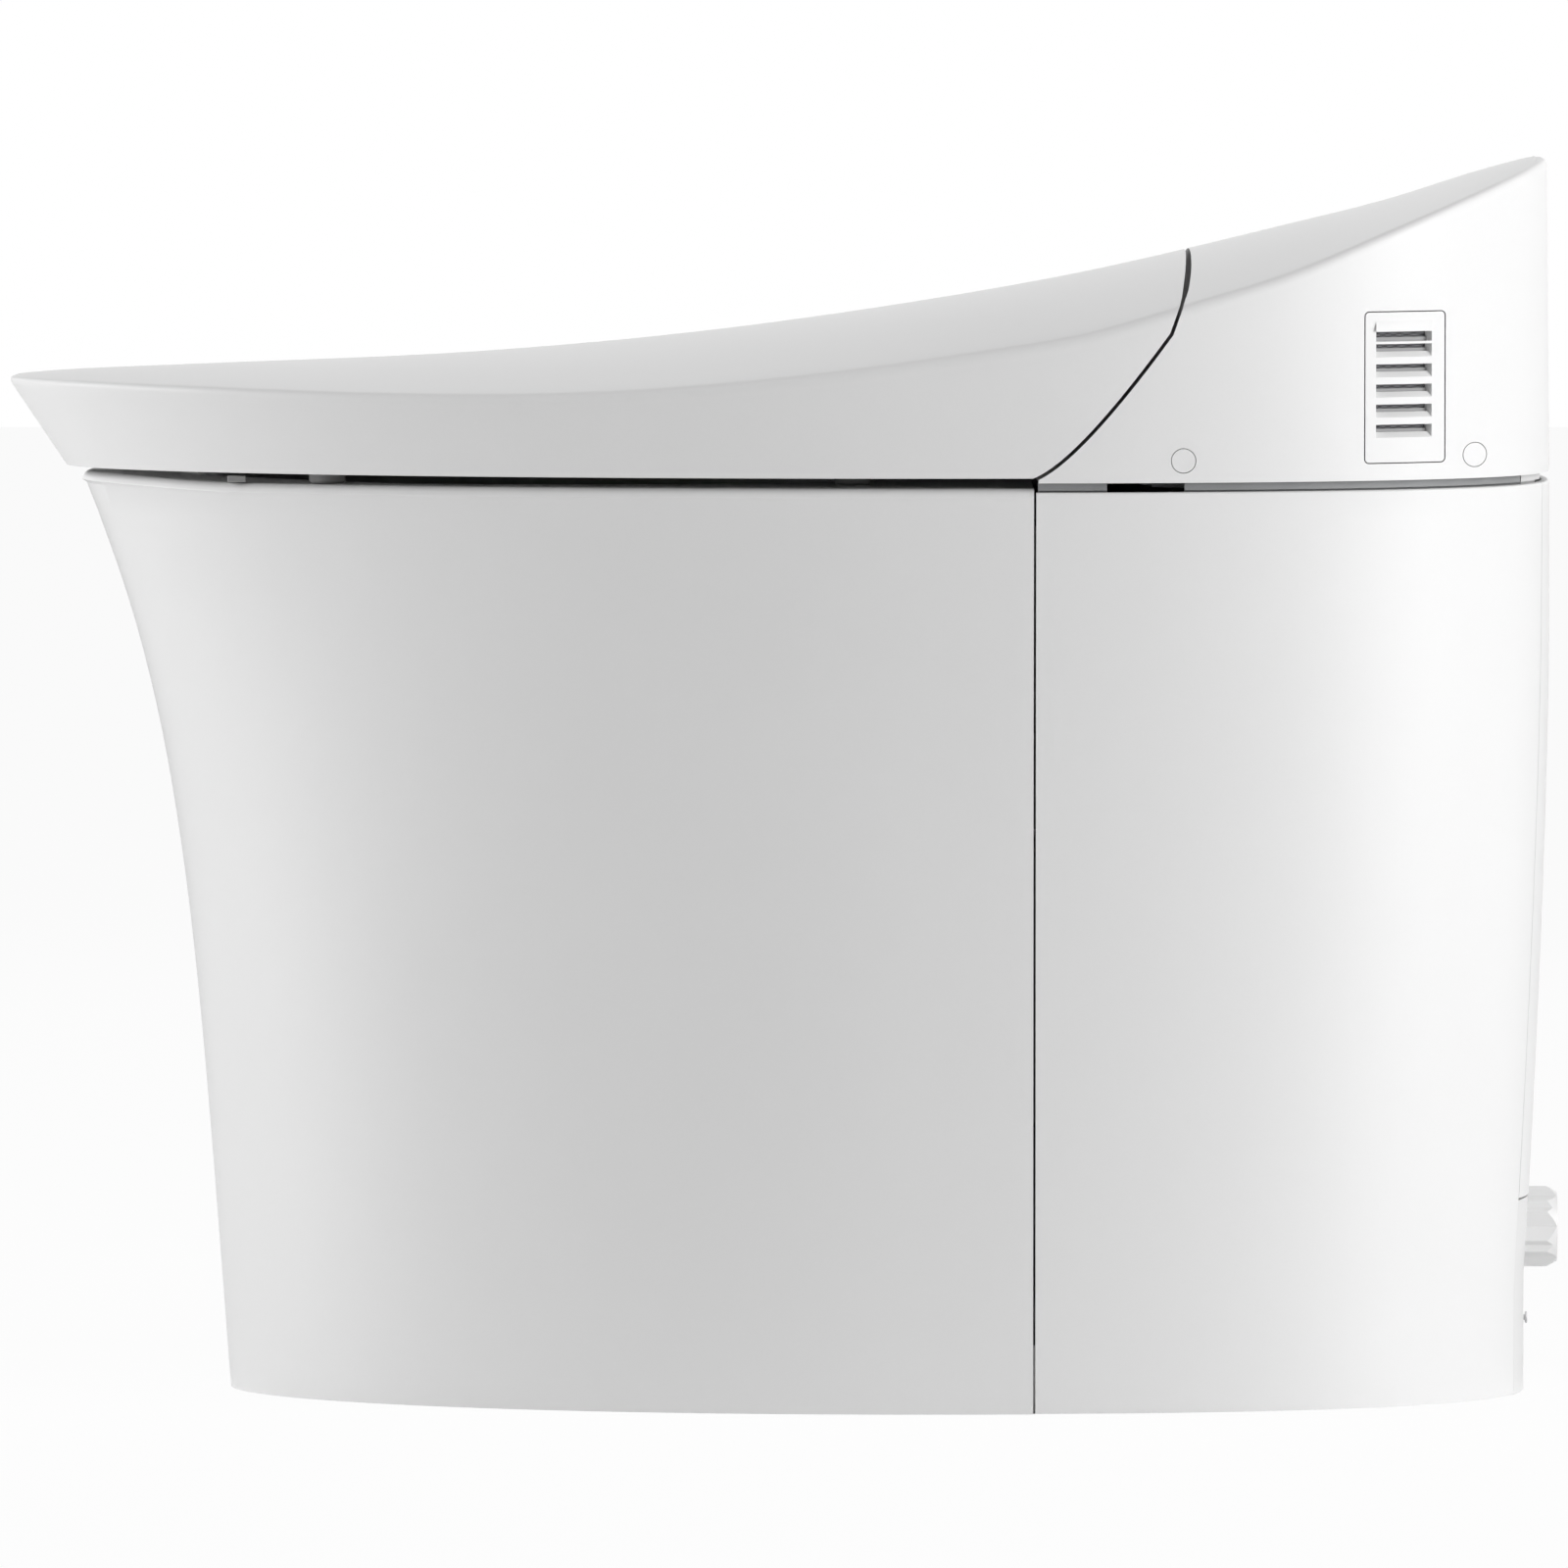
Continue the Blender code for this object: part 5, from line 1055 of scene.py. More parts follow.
@dataclass
class SidePanels:
    """The two moulded rear side panels and the strip between them."""

    front_y: float = SPLIT_Y + PANEL_GAP
    edge: float = 0.0012
    strip_front: float = 0.3140
    standoff_y: float = 0.3146
    standoff_z: float = 0.359

    def shell(self, name: str, low: float) -> bpy.types.Object:
        """A closed band of the body form with an open inside.

        Args:
            name: the band's name.
            low: height of its bottom.

        Returns:
            The band.
        """
        band = body_solid(name, low, PANEL_TOP, 0, self.edge)
        inside = body_solid("inside", low - OVERRUN, PANEL_TOP + OVERRUN, PANEL_WALL, steps=INSIDE_STEPS)
        return solve(band, [inside], Operation.CUT)

    def build(self, painter: Painter) -> None:
        """Make both panels and the strip.

        Args:
            painter: dresses the pieces and lets them ride on their bodies.
        """
        half = STRIP_HALF - PANEL_GAP / 2
        panel_x = (STRIP_HALF + PANEL_GAP / 2, BODY_REACH)
        panel_z = (-OVERRUN, BODY.rim_z + OVERRUN)
        for word, side in (("left", -1), ("right", 1)):
            panel = self.shell("side_panel_%s_fine" % word, FINE_GAP)
            solve(panel, [side_slab("half", side, panel_x, (self.front_y, FAR_Y), panel_z)], Operation.KEEP)
            painter.stand_for(smooth_shade(panel), Looks.PANEL, "base", "side_panel_" + word)
        strip = self.shell("rear_strip_fine", STRIP_BOTTOM)
        solve(strip, [slab("middle", (self.strip_front, FAR_Y), (0, BODY.rim_z), half)], Operation.KEEP)
        z, back = self.standoff_z, BODY.rear_y - PANEL_WALL / 2
        posts = [rod("standoff", (x, self.standoff_y, z), (x, back, z), 2 * PANEL_WALL)
                 for x in (-half / 2, half / 2)]
        solve(strip, posts, Operation.JOIN)
        painter.stand_for(smooth_shade(strip), Looks.PANEL, "base", "rear_strip")


@dataclass
class RearHousing:
    """The rear shell with the filter sleeve, screw seats, wand port and hinge slots."""

    front_y: float = 0.1107
    plugs: tuple[Point, ...] = ((0.1738, 0.4170), (0.3025, 0.4177))
    plug_radius: float = 0.0052
    plug_depth: float = 0.0095
    boss_radius: float = 0.0085
    boss_depth: float = 0.015
    slot_half: float = 0.0053
    leg_x: float = 0.040
    leg_y: Point = (0.1620, 0.1710)
    post_x: float = 0.1055
    post_y: Point = (0.1067, 0.1223)
    post_top: float = 0.4390
    port_radius: float = 0.0136
    cover_low: Point = (0.2530, 0.4147)
    cover_high: Point = (0.2892, 0.4814)
    cover_corner: float = 0.0022
    sleeve_depth: float = 0.0560
    sleeve_wall: float = 0.0020

    def pocket(self, name: str, grow: float, low_x: float, high_x: float) -> bpy.types.Object:
        """The round-cornered room behind the filter cover: four quarter circles joined by runs.

        Args:
            name: the solid's name.
            grow: how much larger it is than the cover.
            low_x: where it starts across.
            high_x: where it ends across.

        Returns:
            The closed solid.
        """
        (y0, z0), (y1, z1) = self.cover_low, self.cover_high
        radius = self.cover_corner + grow
        corners = np.array(((y1, z1), (y0, z1), (y0, z0), (y1, z0)))
        middles = np.clip(corners, np.array(self.cover_low) + self.cover_corner,
                          np.array(self.cover_high) - self.cover_corner)
        angles = np.linspace(0, math.pi / 2, CORNER_STEPS) + np.arange(4)[:, None] * math.pi / 2
        rim = radius * np.stack((np.cos(angles), np.sin(angles)), axis=-1)
        return carried_across(name, (middles[:, None] + rim).reshape(-1, 2), low_x, high_x)

    def add_sleeve(self, shell: bpy.types.Object) -> None:
        """Line the room of the filter with a sleeve on the shell.

        Args:
            shell: the housing.
        """
        outer = cap_wall_x(self.cover_low[0], (self.cover_low[1] + self.cover_high[1]) / 2)
        inner = outer - self.sleeve_depth
        sleeve = self.pocket("sleeve", self.sleeve_wall, inner, outer + OVERRUN)
        solve(sleeve, [cap_inside("trim", CAP.foot_z - OVERRUN, HOUSING_WALL / 2)], Operation.KEEP)
        solve(shell, [sleeve], Operation.JOIN)
        solve(shell, [self.pocket("room", 0, inner - OVERRUN, outer + OVERRUN)], Operation.CUT)

    def add_screw_seat(self, shell: bpy.types.Object, side: int, y: float, z: float) -> None:
        """Stand a boss inside the wall and sink the seat of a screw plug into it.

        Args:
            shell: the housing.
            side: -1 or 1.
            y: place of the screw along the toilet.
            z: its height.
        """
        face = cap_wall_x(y, z)
        boss = rod("boss", (side * (face - self.boss_depth), y, z), (side * face, y, z), self.boss_radius)
        solve(boss, [cap_inside("trim", CAP.foot_z - OVERRUN, HOUSING_WALL / 2)], Operation.KEEP)
        solve(shell, [boss], Operation.JOIN)
        start, end = face - self.plug_depth - FINE_GAP, face + OVERRUN
        seat = rod("plug_seat", (side * start, y, z), (side * end, y, z), self.plug_radius + FINE_GAP,
                   TURN_STEPS)
        solve(shell, [seat], Operation.CUT)

    def hinge_slot(self, side: int, x: float, y: Point, z: Point) -> bpy.types.Object:
        """The slot for a hinge leg or post."""
        return side_slab("slot", side, (x - self.slot_half, x + self.slot_half), y, z)

    def add_plugs(self, painter: Painter) -> None:
        """The four round caps over the screws, flush with the wall.

        Args:
            painter: dresses the pieces and lets them ride on their bodies.
        """
        for side, word in ((-1, "left"), (1, "right")):
            for place, (y, z) in zip(("front", "rear"), self.plugs):
                face = cap_wall_x(y, z)
                plug = rod("screw_plug_%s_%s_fine" % (word, place), (side * (face - self.plug_depth), y, z),
                           (side * (face + OVERRUN), y, z), self.plug_radius, TURN_STEPS)
                solve(plug, [cap_solid("trim", CAP.foot_z - OVERRUN, 0)], Operation.KEEP)
                painter.stand_for(smooth_shade(plug), Looks.SHELL, "base", "screw_plug_%s_%s" % (word, place))

    def build(self, painter: Painter) -> None:
        """Cut the housing from the cap form behind the seam, fit it out and plug its screws.

        Args:
            painter: dresses the pieces and lets them ride on their bodies.
        """
        shell = cap_solid("rear_housing_fine", HOUSING_BOTTOM_Z, 0)
        solve(shell, [SEAM.space("front_space", SEAM_GAP)], Operation.CUT)
        inside = cap_inside("inside", HOUSING_BOTTOM_Z - OVERRUN, HOUSING_WALL)
        solve(inside, [SEAM.space("front_wall", SEAM_GAP + HOUSING_WALL)], Operation.CUT)
        tip = slab("front_tip", (0, self.front_y), (0, CAP.peak_z), CAP.edge.half_width)
        solve(shell, [inside, tip], Operation.CUT)
        self.add_sleeve(shell)
        for side in (-1, 1):
            for y, z in self.plugs:
                self.add_screw_seat(shell, side, y, z)
            solve(shell, [self.hinge_slot(side, self.leg_x, self.leg_y, (HOUSING_BOTTOM_Z, LID_AXIS[1])),
                          self.hinge_slot(side, self.post_x, self.post_y, (0, self.post_top))], Operation.CUT)
        solve(shell, [wand_rod("wand_port", OVERRUN, self.port_radius)], Operation.CUT)
        painter.stand_for(smooth_shade(shell), Looks.SHELL, "base", "rear_housing")
        self.add_plugs(painter)


@dataclass
class FilterUnit:
    """The louvred cover on the side, which draws out with the filter."""

    housing: RearHousing
    gap: float = 0.0005
    cover_steps: int = 180
    slot_low_y: float = 0.2582
    slot_high_y: float = 0.2830
    slot_steps: int = 12
    first: Point = (0.4681, 0.4724)
    tops: tuple[float, ...] = (0.4670, 0.4582, 0.4494, 0.4406, 0.4318)
    height: float = 0.0057
    rise: float = 0.0038
    first_rise: float = 0.0018
    ramp: float = 0.0024
    ramp_depth: float = 0.0026
    bar_depth: float = 0.0012
    blade_depth: float = 0.0042
    end_draft: float = 0.0040
    lip: float = 0.0015
    lip_height: float = 0.0044

    def __post_init__(self) -> None:
        """Work out the places along a slot and the flat back of the cover."""
        self.y = np.linspace(self.slot_low_y, self.slot_high_y, self.slot_steps)
        self.back = cap_wall_x(self.housing.cover_high[0], self.housing.cover_low[1]) - 2 * HOUSING_WALL

    def along_slot(self, name: str, outline: Sequence[tuple[Any, float]]) -> bpy.types.Object:
        """Carry a cross-section along the slots: its corners keep their height and follow the wall.

        Args:
            name: the solid's name.
            outline: corners as (x, z), where x is one number or one for each place along a slot.

        Returns:
            The closed solid.
        """
        corners = [np.stack(np.broadcast_arrays(x, self.y, z), axis=1) for x, z in outline]
        return mesh_from_grid(name, np.stack(corners, axis=1))

    def hood(self) -> bpy.types.Object:
        """The finger lip over the first slot: a wedge that follows the wall.

        Returns:
            The closed solid.
        """
        low = self.first[1] + FINE_GAP / 2
        high = low + self.lip_height
        under, over = cap_wall_x(self.y, low), cap_wall_x(self.y, high)
        inner, outer = np.minimum(under, over) - self.lip, under + self.lip
        return self.along_slot("hood", [(inner, low), (outer, low), (outer, low + self.lip / 2),
                                        (over + FINE_GAP / 10, high), (inner, high)])

    def end_ring(self, level: float, z: float) -> list[Place]:
        """The plan of what a slot's drafted rear end leaves standing.

        Args:
            level: height at which the wall's place is read.
            z: height of the plan.

        Returns:
            Its corners.
        """
        y = self.slot_high_y
        face = float(cap_wall_x(y, level))
        drawn, inner, outer = y - self.end_draft, self.back - OVERRUN, face + 2 * OVERRUN
        return [(inner, drawn, z), (face - self.blade_depth, drawn, z), (face, y, z), (outer, y, z),
                (outer, y + OVERRUN, z), (inner, y + OVERRUN, z)]

    def slot(self, low: float, high: float, rise: float, ramp: float) -> bpy.types.Object:
        """One slot between two levels of the wall, its upper side rising to the blades' depth.

        Args:
            low: height of the slot's lower edge on the wall.
            high: height of its upper edge.
            rise: how much the upper side rises on its way in.
            ramp: how much the lower side climbs from the wall before it runs level.

        Returns:
            The slot as a solid to cut with, its rear end drawn in over the blades' depth.
        """
        over, under = cap_wall_x(self.y, high), cap_wall_x(self.y, low)
        deep = self.back - FINE_GAP
        slot = self.along_slot("slot", [
            (deep, high + rise), (over - self.blade_depth, high + rise), (over, high),
            (over + OVERRUN, high - OVERRUN * rise / self.blade_depth),
            (under + OVERRUN, low - OVERRUN * ramp / self.ramp_depth), (under, low),
            (under - self.ramp_depth, low + ramp), (deep, low + ramp)])
        rings = [self.end_ring(low, low - 2 * OVERRUN), self.end_ring(high, high + 2 * OVERRUN)]
        return solve(slot, [mesh_from_grid("end", np.array(rings))], Operation.CUT)

    def backing(self, name: str, low: float, high: float, layer: int) -> bpy.types.Object:
        """A strip between two levels behind the blades, which follows the wall.

        Args:
            name: the strip's name.
            low: height of its lower edge.
            high: height of its upper edge.
            layer: 0 for the foremost strip, 1 for the one behind it.

        Returns:
            The strip.
        """
        near = self.blade_depth + FINE_GAP + layer * self.bar_depth
        under, over = cap_wall_x(self.y, low), cap_wall_x(self.y, high)
        return self.along_slot(name, [(under - near - self.bar_depth, low), (under - near, low),
                                      (over - near, high), (over - near - self.bar_depth, high)])

    def build(self, painter: Painter) -> None:
        """Cut the cover from the cap form and its slots from the cover, and set grey bars of painted shade
        behind them.

        Args:
            painter: dresses the pieces and lets them ride on their bodies.
        """
        cover = cap_solid("filter_cover_fine", CAP.foot_z - OVERRUN, 0, self.cover_steps)
        edge = self.housing.pocket("edge", -self.gap, 0, CAP.edge.half_width + OVERRUN)
        solve(cover, [edge], Operation.KEEP)
        solve(cover, [block("back", (-OVERRUN, 0, 0), (self.back, BODY.rear_y, CAP.peak_z))], Operation.CUT)
        lows = [z - self.height for z in self.tops]
        slots = [self.slot(*self.first, self.first_rise, FINE_GAP)]
        slots += [self.slot(low, high, self.rise, self.ramp) for low, high in zip(lows, self.tops)]
        solve(cover, slots, Operation.CUT)
        solve(cover, [self.hood()], Operation.JOIN)
        painter.stand_for(smooth_shade(cover), Looks.SHELL, "filter", "filter_cover")
        # Grey bars behind the lower part of each slot: painted shade under the blades.
        bars = self.backing("painted_shade_bars", self.first[0], self.first[0] + self.first_rise, 0)
        solve(bars, [self.backing("bar", low, low + self.rise, 0) for low in lows], Operation.JOIN)
        painter.stand_for(bars, Looks.FRAME, "filter", "carbon_filter")
        sheet = self.backing("filter_mesh", lows[-1], sum(self.first) / 2 + self.height, 1)
        painter.stand_for(sheet, Looks.MESH, "filter", "carbon_filter")


@dataclass
class Lid:
    """The hollow crowned lid with its two hinge lugs."""

    wall: float = 0.0040
    bottom_z: float = 0.4095
    lug_x: float = 0.060
    lug_half: float = 0.005
    lug_radius: float = 0.0060
    lug_reach: float = 0.042

    def add_lug(self, shell: bpy.types.Object, side: int) -> None:
        """Join one hinge lug, a web under the crown with a bored eye.

        Args:
            shell: the lid.
            side: -1 or 1.
        """
        y, z = LID_AXIS
        front = y - self.lug_reach
        low, high = sorted((side * (self.lug_x - self.lug_half), side * (self.lug_x + self.lug_half)))
        top, front_top = CAP.surface(self.lug_x / CAP.edge.half_width, np.array((y, front))) - self.wall / 2
        outline = np.array([(front, front_top - self.lug_radius), (front, front_top), (y, top),
                            (y, z - self.lug_radius)])
        solve(shell, [carried_across("web", outline, low, high),
                      rod("eye", (low, y, z), (high, y, z), self.lug_radius)], Operation.JOIN)
        bore = rod("pin_hole", (low - OVERRUN, y, z), (high + OVERRUN, y, z), PIN_BORE, HOLE_STEPS)
        solve(shell, [bore], Operation.CUT)

    def build(self, painter: Painter) -> None:
        """Cut the lid from the cap form and add the lugs.

        Args:
            painter: dresses the pieces and lets them ride on their bodies.
        """
        shell = cap_solid("lid_fine", self.bottom_z, 0)
        solve(shell, [SEAM.space("front_space", 0)], Operation.KEEP)
        solve(shell, [cap_inside("inside", CAP.foot_z - OVERRUN, self.wall)], Operation.CUT)
        for side in (-1, 1):
            self.add_lug(shell, side)
        painter.stand_for(smooth_shade(shell), Looks.LID, "lid", "lid")


@dataclass
class SeatRing:
    """The seat with its rounded rims and hinge ears."""

    half_width: float = 0.192
    front_y: float = -0.3040
    rear_y: float = 0.0980
    bottom: float = 0.4115
    thick: float = 0.0175
    edge: float = 0.006
    low_edge: float = 0.002
    hole_half: float = 0.108
    hole: Point = (-0.2350, 0.0400)
    hole_steps: int = 160
    ear_x: Point = (0.086, 0.100)
    ear_top: float = 0.0068
    eye_radius: float = 0.0085

    def ring(self) -> bpy.types.Object:
        """The oval with a small quarter round below and a larger one above, cut off behind.

        Returns:
            The ring.
        """
        oval = Oval(self.half_width, self.front_y, BODY.rear_y)
        top = self.bottom + self.thick
        turn = np.linspace(0, math.pi / 2, CORNER_STEPS)
        sine, cosine = np.sin(turn), np.cos(turn)
        heights = np.concatenate((self.bottom + self.low_edge * (1 - cosine),
                                  top - self.edge + self.edge * sine))
        insets = np.concatenate((self.low_edge * (1 - sine), self.edge * (1 - cosine)))
        rings = [closed_ring(oval, z, inset) for z, inset in zip(heights, insets)]
        ring = mesh_from_grid("seat_ring_fine", np.array(rings))
        rear = slab("rear", (self.rear_y, FAR_Y), (0, CAP.peak_z), self.half_width + OVERRUN)
        return solve(ring, [rear], Operation.CUT)

    def opening(self) -> bpy.types.Object:
        """The hole as stacked ellipses, widening to the top by a quarter round twice the edge's size.

        Returns:
            The closed solid.
        """
        top = self.bottom + self.thick + FINE_GAP
        middle, half = sum(self.hole) / 2, (self.hole[1] - self.hole[0]) / 2
        soft = 2 * self.edge
        rim = [(self.bottom - OVERRUN, self.low_edge), (self.bottom, self.low_edge),
               (self.bottom + self.low_edge, 0.0)]
        rim += [(top - soft * (1 - math.sin(a)), soft * (1 - math.cos(a)))
                for a in np.linspace(0, math.pi / 2, CORNER_STEPS)]
        angles = np.linspace(0, math.tau, self.hole_steps, endpoint=False)
        rows = [np.stack(((self.hole_half + grow) * np.sin(angles), middle - (half + grow) * np.cos(angles),
                          np.full_like(angles, z)), axis=1) for z, grow in rim]
        return mesh_from_grid("hole", np.array(rows))

    def add_ear(self, ring: bpy.types.Object, side: int) -> None:
        """Join one hinge ear with its bored eye.

        Args:
            ring: the seat.
            side: -1 or 1.
        """
        y, z = SEAT_AXIS
        low, high = sorted((side * self.ear_x[0], side * self.ear_x[1]))
        ear = side_slab("ear", side, self.ear_x, (self.rear_y - OVERRUN, y),
                        (self.bottom + self.edge, z + self.ear_top))
        solve(ring, [ear, rod("eye", (low, y, z), (high, y, z), self.eye_radius)], Operation.JOIN)
        bore = rod("pin_hole", (low - OVERRUN, y, z), (high + OVERRUN, y, z), PIN_BORE, HOLE_STEPS)
        solve(ring, [bore], Operation.CUT)

    def build(self, painter: Painter) -> None:
        """Make the ring, cut its opening and add the ears.

        Args:
            painter: dresses the pieces and lets them ride on their bodies.
        """
        ring = self.ring()
        solve(ring, [self.opening()], Operation.CUT)
        for side in (-1, 1):
            self.add_ear(ring, side)
        painter.stand_for(smooth_shade(ring), Looks.SEAT, "seat", "seat_ring")


@dataclass
class InletNut:
    """The fluted coupling nut on the inlet stub.

    The corners are rows of (share of a sector, share of the way from valley to ridge).
    """

    start: float = 0.3295
    end: float = 0.3444
    radius: float = 0.0181
    valley: float = 0.0156
    chamfer: float = 0.0048
    end_radius: float = 0.0154
    bore: float = 0.0098
    sectors: int = 6
    phase: float = math.radians(3.4)
    flat_angle: float = math.radians(8)
    cone_steps: int = 96
    corners: Table = ((0.0, 0.0), (0.35, 1.0), (0.5, 0.4), (0.65, 1.0))

    def build(self, painter: Painter) -> None:
        """Sweep the sectors of flats between ridges and valleys, and keep them inside a cone.

        Flats join the table's corners, and the cone at the open end cuts the ridges back in zigzags.

        Args:
            painter: dresses the pieces and lets them ride on their bodies.
        """
        x, z = INLET
        places, ridge = np.array(self.corners).T
        turns = (np.arange(self.sectors)[:, None] + places[None, :]).ravel() / self.sectors
        angles = self.phase + math.tau * turns
        radius = self.valley + (self.radius - self.valley) * np.tile(ridge, self.sectors)
        across, up = x + radius * np.cos(angles), z + radius * np.sin(angles)
        rows = [np.stack((across, np.full_like(across, y), up), axis=1) for y in (self.start, self.end)]
        nut = mesh_from_grid("coupling_nut_fine", np.array(rows))
        length = self.end - self.start
        cone = turned("cone", ((-OVERRUN, 2 * self.radius), (length - self.chamfer, self.radius),
                               (length, self.end_radius)), (x, self.start, z), (0, 1, 0), self.cone_steps)
        solve(nut, [cone], Operation.KEEP)
        bore = rod("bore", (x, self.start - OVERRUN, z), (x, self.end + OVERRUN, z), self.bore)
        solve(nut, [bore], Operation.CUT)
        painter.stand_for(smooth_shade(nut, self.flat_angle), Looks.NUT, "inlet_nut", "coupling_nut")


@dataclass
class ChassisDeck:
    """The deck of the source, with its lip carried on to the front and notched on both sides."""

    lip_y: Point = (0.1105, 0.1345)
    notch: Point = (0.1405, 0.1743)
    notch_low: float = 0.4020
    lip_in: float = 0.150
    grip: float = 0.00385
    neck: float = 0.0022
    depth: float = 0.004
    top_z: float = 0.4078
    base_z: float = 0.4000
    end_y: float = 0.3240

    def lip(self) -> bpy.types.Object:
        """The front of the lip: a band along the cap's foot that is drawn in below a small step.

        Returns:
            The lip.
        """
        inner = self.grip + self.neck
        step_z = PANEL_TOP + PANEL_GAP / 2
        levels = ((self.base_z, inner), (step_z, inner), (step_z + FINE_GAP, self.grip),
                  (self.top_z, self.grip))
        lip = mesh_from_grid("lip", np.array([closed_ring(CAP.foot, z, inset) for z, inset in levels]))
        ends = (self.base_z - OVERRUN, self.top_z + OVERRUN)
        rings = [closed_ring(CAP.foot, z, inner + self.depth) for z in ends]
        solve(lip, [mesh_from_grid("lip_inside", np.array(rings))], Operation.CUT)
        return solve(lip, [slab("front", self.lip_y, (0, CAP.peak_z), CAP.edge.half_width)], Operation.KEEP)

    def rear(self, start: float) -> bpy.types.Object:
        """Everything behind a place along the deck."""
        return slab("rear", (start, BODY.rear_y), (self.base_z, CAP.peak_z), CAP.edge.half_width)

    def build(self, painter: Painter) -> None:
        """Join the lip to a copy of the source's deck, cut the notches and part off the rear end, which is
        painted paler as painted light.

        Args:
            painter: dresses the pieces and lets them ride on their bodies.
        """
        deck = merged_copy("chassis_deck")
        solve(deck, [self.lip()], Operation.JOIN)
        for side in (-1, 1):
            solve(deck, [side_slab("notch", side, (self.lip_in, CAP.edge.half_width), self.notch,
                                   (self.notch_low, CAP.peak_z))], Operation.CUT)
        # The rear end of the deck takes a paler grey: painted light at the lit end of the gap.
        end = place_mesh("chassis_deck_painted_light_end", deck.data.copy())
        solve(end, [self.rear(self.end_y + FINE_GAP)], Operation.KEEP)
        solve(deck, [self.rear(self.end_y)], Operation.CUT)
        painter.stand_for(smooth_shade(end), Looks.PAINTED_LIGHT_DECK_END, "base", "chassis_deck")
        painter.stand_for(smooth_shade(deck), Looks.CHASSIS, "base", "chassis_deck")


def merged_copy(node: str) -> bpy.types.Object:
    """Copy a node's mesh with its triangles joined into flat faces.

    Args:
        node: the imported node.

    Returns:
        The copy.
    """
    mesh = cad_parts[node].data.copy()
    for name in ("custom_normal", "sharp_edge", "sharp_face"):
        if name in mesh.attributes:
            mesh.attributes.remove(mesh.attributes[name])
    piece = place_mesh(node + "_fine", mesh)
    build = bmesh.new()
    build.from_mesh(mesh)
    bmesh.ops.dissolve_limit(build, angle_limit=FLAT_ANGLE, verts=build.verts, edges=build.edges)
    build.to_mesh(mesh)
    build.free()
    return piece


@dataclass(frozen=True)
class Carried:
    """A solid taken over as it is: its triangles are joined and its corners rounded."""

    node: str
    body: str
    look: Looks
    edge: float = 0.0004

    def build(self, painter: Painter) -> None:
        """Copy the node's mesh, merge it, soften it and dress the copy."""
        piece = soften(smooth_shade(merged_copy(self.node)), self.edge)
        painter.stand_for(piece, self.look, self.body, self.node)


CARRIED = (
    Carried("outlet_gasket", "base", Looks.RUBBER),
    Carried("floor_bolt_left", "base", Looks.STEEL), Carried("floor_bolt_right", "base", Looks.STEEL),
    Carried("foot_screw", "base", Looks.STEEL, 0.0002), Carried("inlet_pipe", "base", Looks.INNER),
    Carried("lid_hinge_bracket", "base", Looks.STEEL), Carried("seat_hinge_post_left", "base", Looks.CHASSIS),
    Carried("seat_hinge_post_right", "base", Looks.CHASSIS), Carried("wand_guide", "base", Looks.CHASSIS),
    Carried("wand_motor", "base", Looks.STEEL), Carried("lid_drive", "base", Looks.STEEL),
    Carried("deodoriser_fan_case", "base", Looks.CHASSIS), Carried("dryer_fan_case", "base", Looks.CHASSIS),
    Carried("water_heater", "base", Looks.CHASSIS), Carried("valve_manifold", "base", Looks.CHASSIS),
    Carried("control_box", "base", Looks.CHASSIS), Carried("power_supply", "base", Looks.CHASSIS),
    Carried("flush_pump", "base", Looks.STEEL), Carried("reservoir_tank", "base", Looks.INNER),
    Carried("lid_bumper_left", "lid", Looks.RUBBER), Carried("lid_bumper_right", "lid", Looks.RUBBER),
    Carried("seat_bumper_left_front", "seat", Looks.RUBBER),
    Carried("seat_bumper_left_rear", "seat", Looks.RUBBER),
    Carried("seat_bumper_right_front", "seat", Looks.RUBBER),
    Carried("seat_bumper_right_rear", "seat", Looks.RUBBER),
    Carried("wand_tube", "wand", Looks.INNER), Carried("nozzle_tip", "wand", Looks.INNER, 0.0002),
    Carried("wand_drive_roller", "wand_drive", Looks.INNER), Carried("carbon_filter", "filter", Looks.MESH),
    Carried("deodoriser_fan_wheel", "deodoriser_wheel", Looks.DARK, 0.0002),
    Carried("dryer_fan_wheel", "dryer_wheel", Looks.DARK, 0.0002),
)


def stage_object(name: str, data: Any) -> bpy.types.Object:
    """Link a camera, lamp or sheet into the scene."""
    item = bpy.data.objects.new(name, data)
    bpy.context.scene.collection.objects.link(item)
    return item


@dataclass(frozen=True)
class Lamp:
    """A square soft box that points at a place on the toilet."""

    name: str
    place: Place
    size: float
    watts: float

    def hang(self, target: Place) -> None:
        """Place the lamp and turn it.

        Args:
            target: what it points at.
        """
        data = bpy.data.lights.new(self.name, "AREA")
        data.shape = "SQUARE"
        data.size = self.size
        data.energy = self.watts
        item = stage_object(self.name, data)
        item.location = self.place
        item.rotation_euler = (Vector(target) - Vector(self.place)).to_track_quat("-Z", "Y").to_euler()


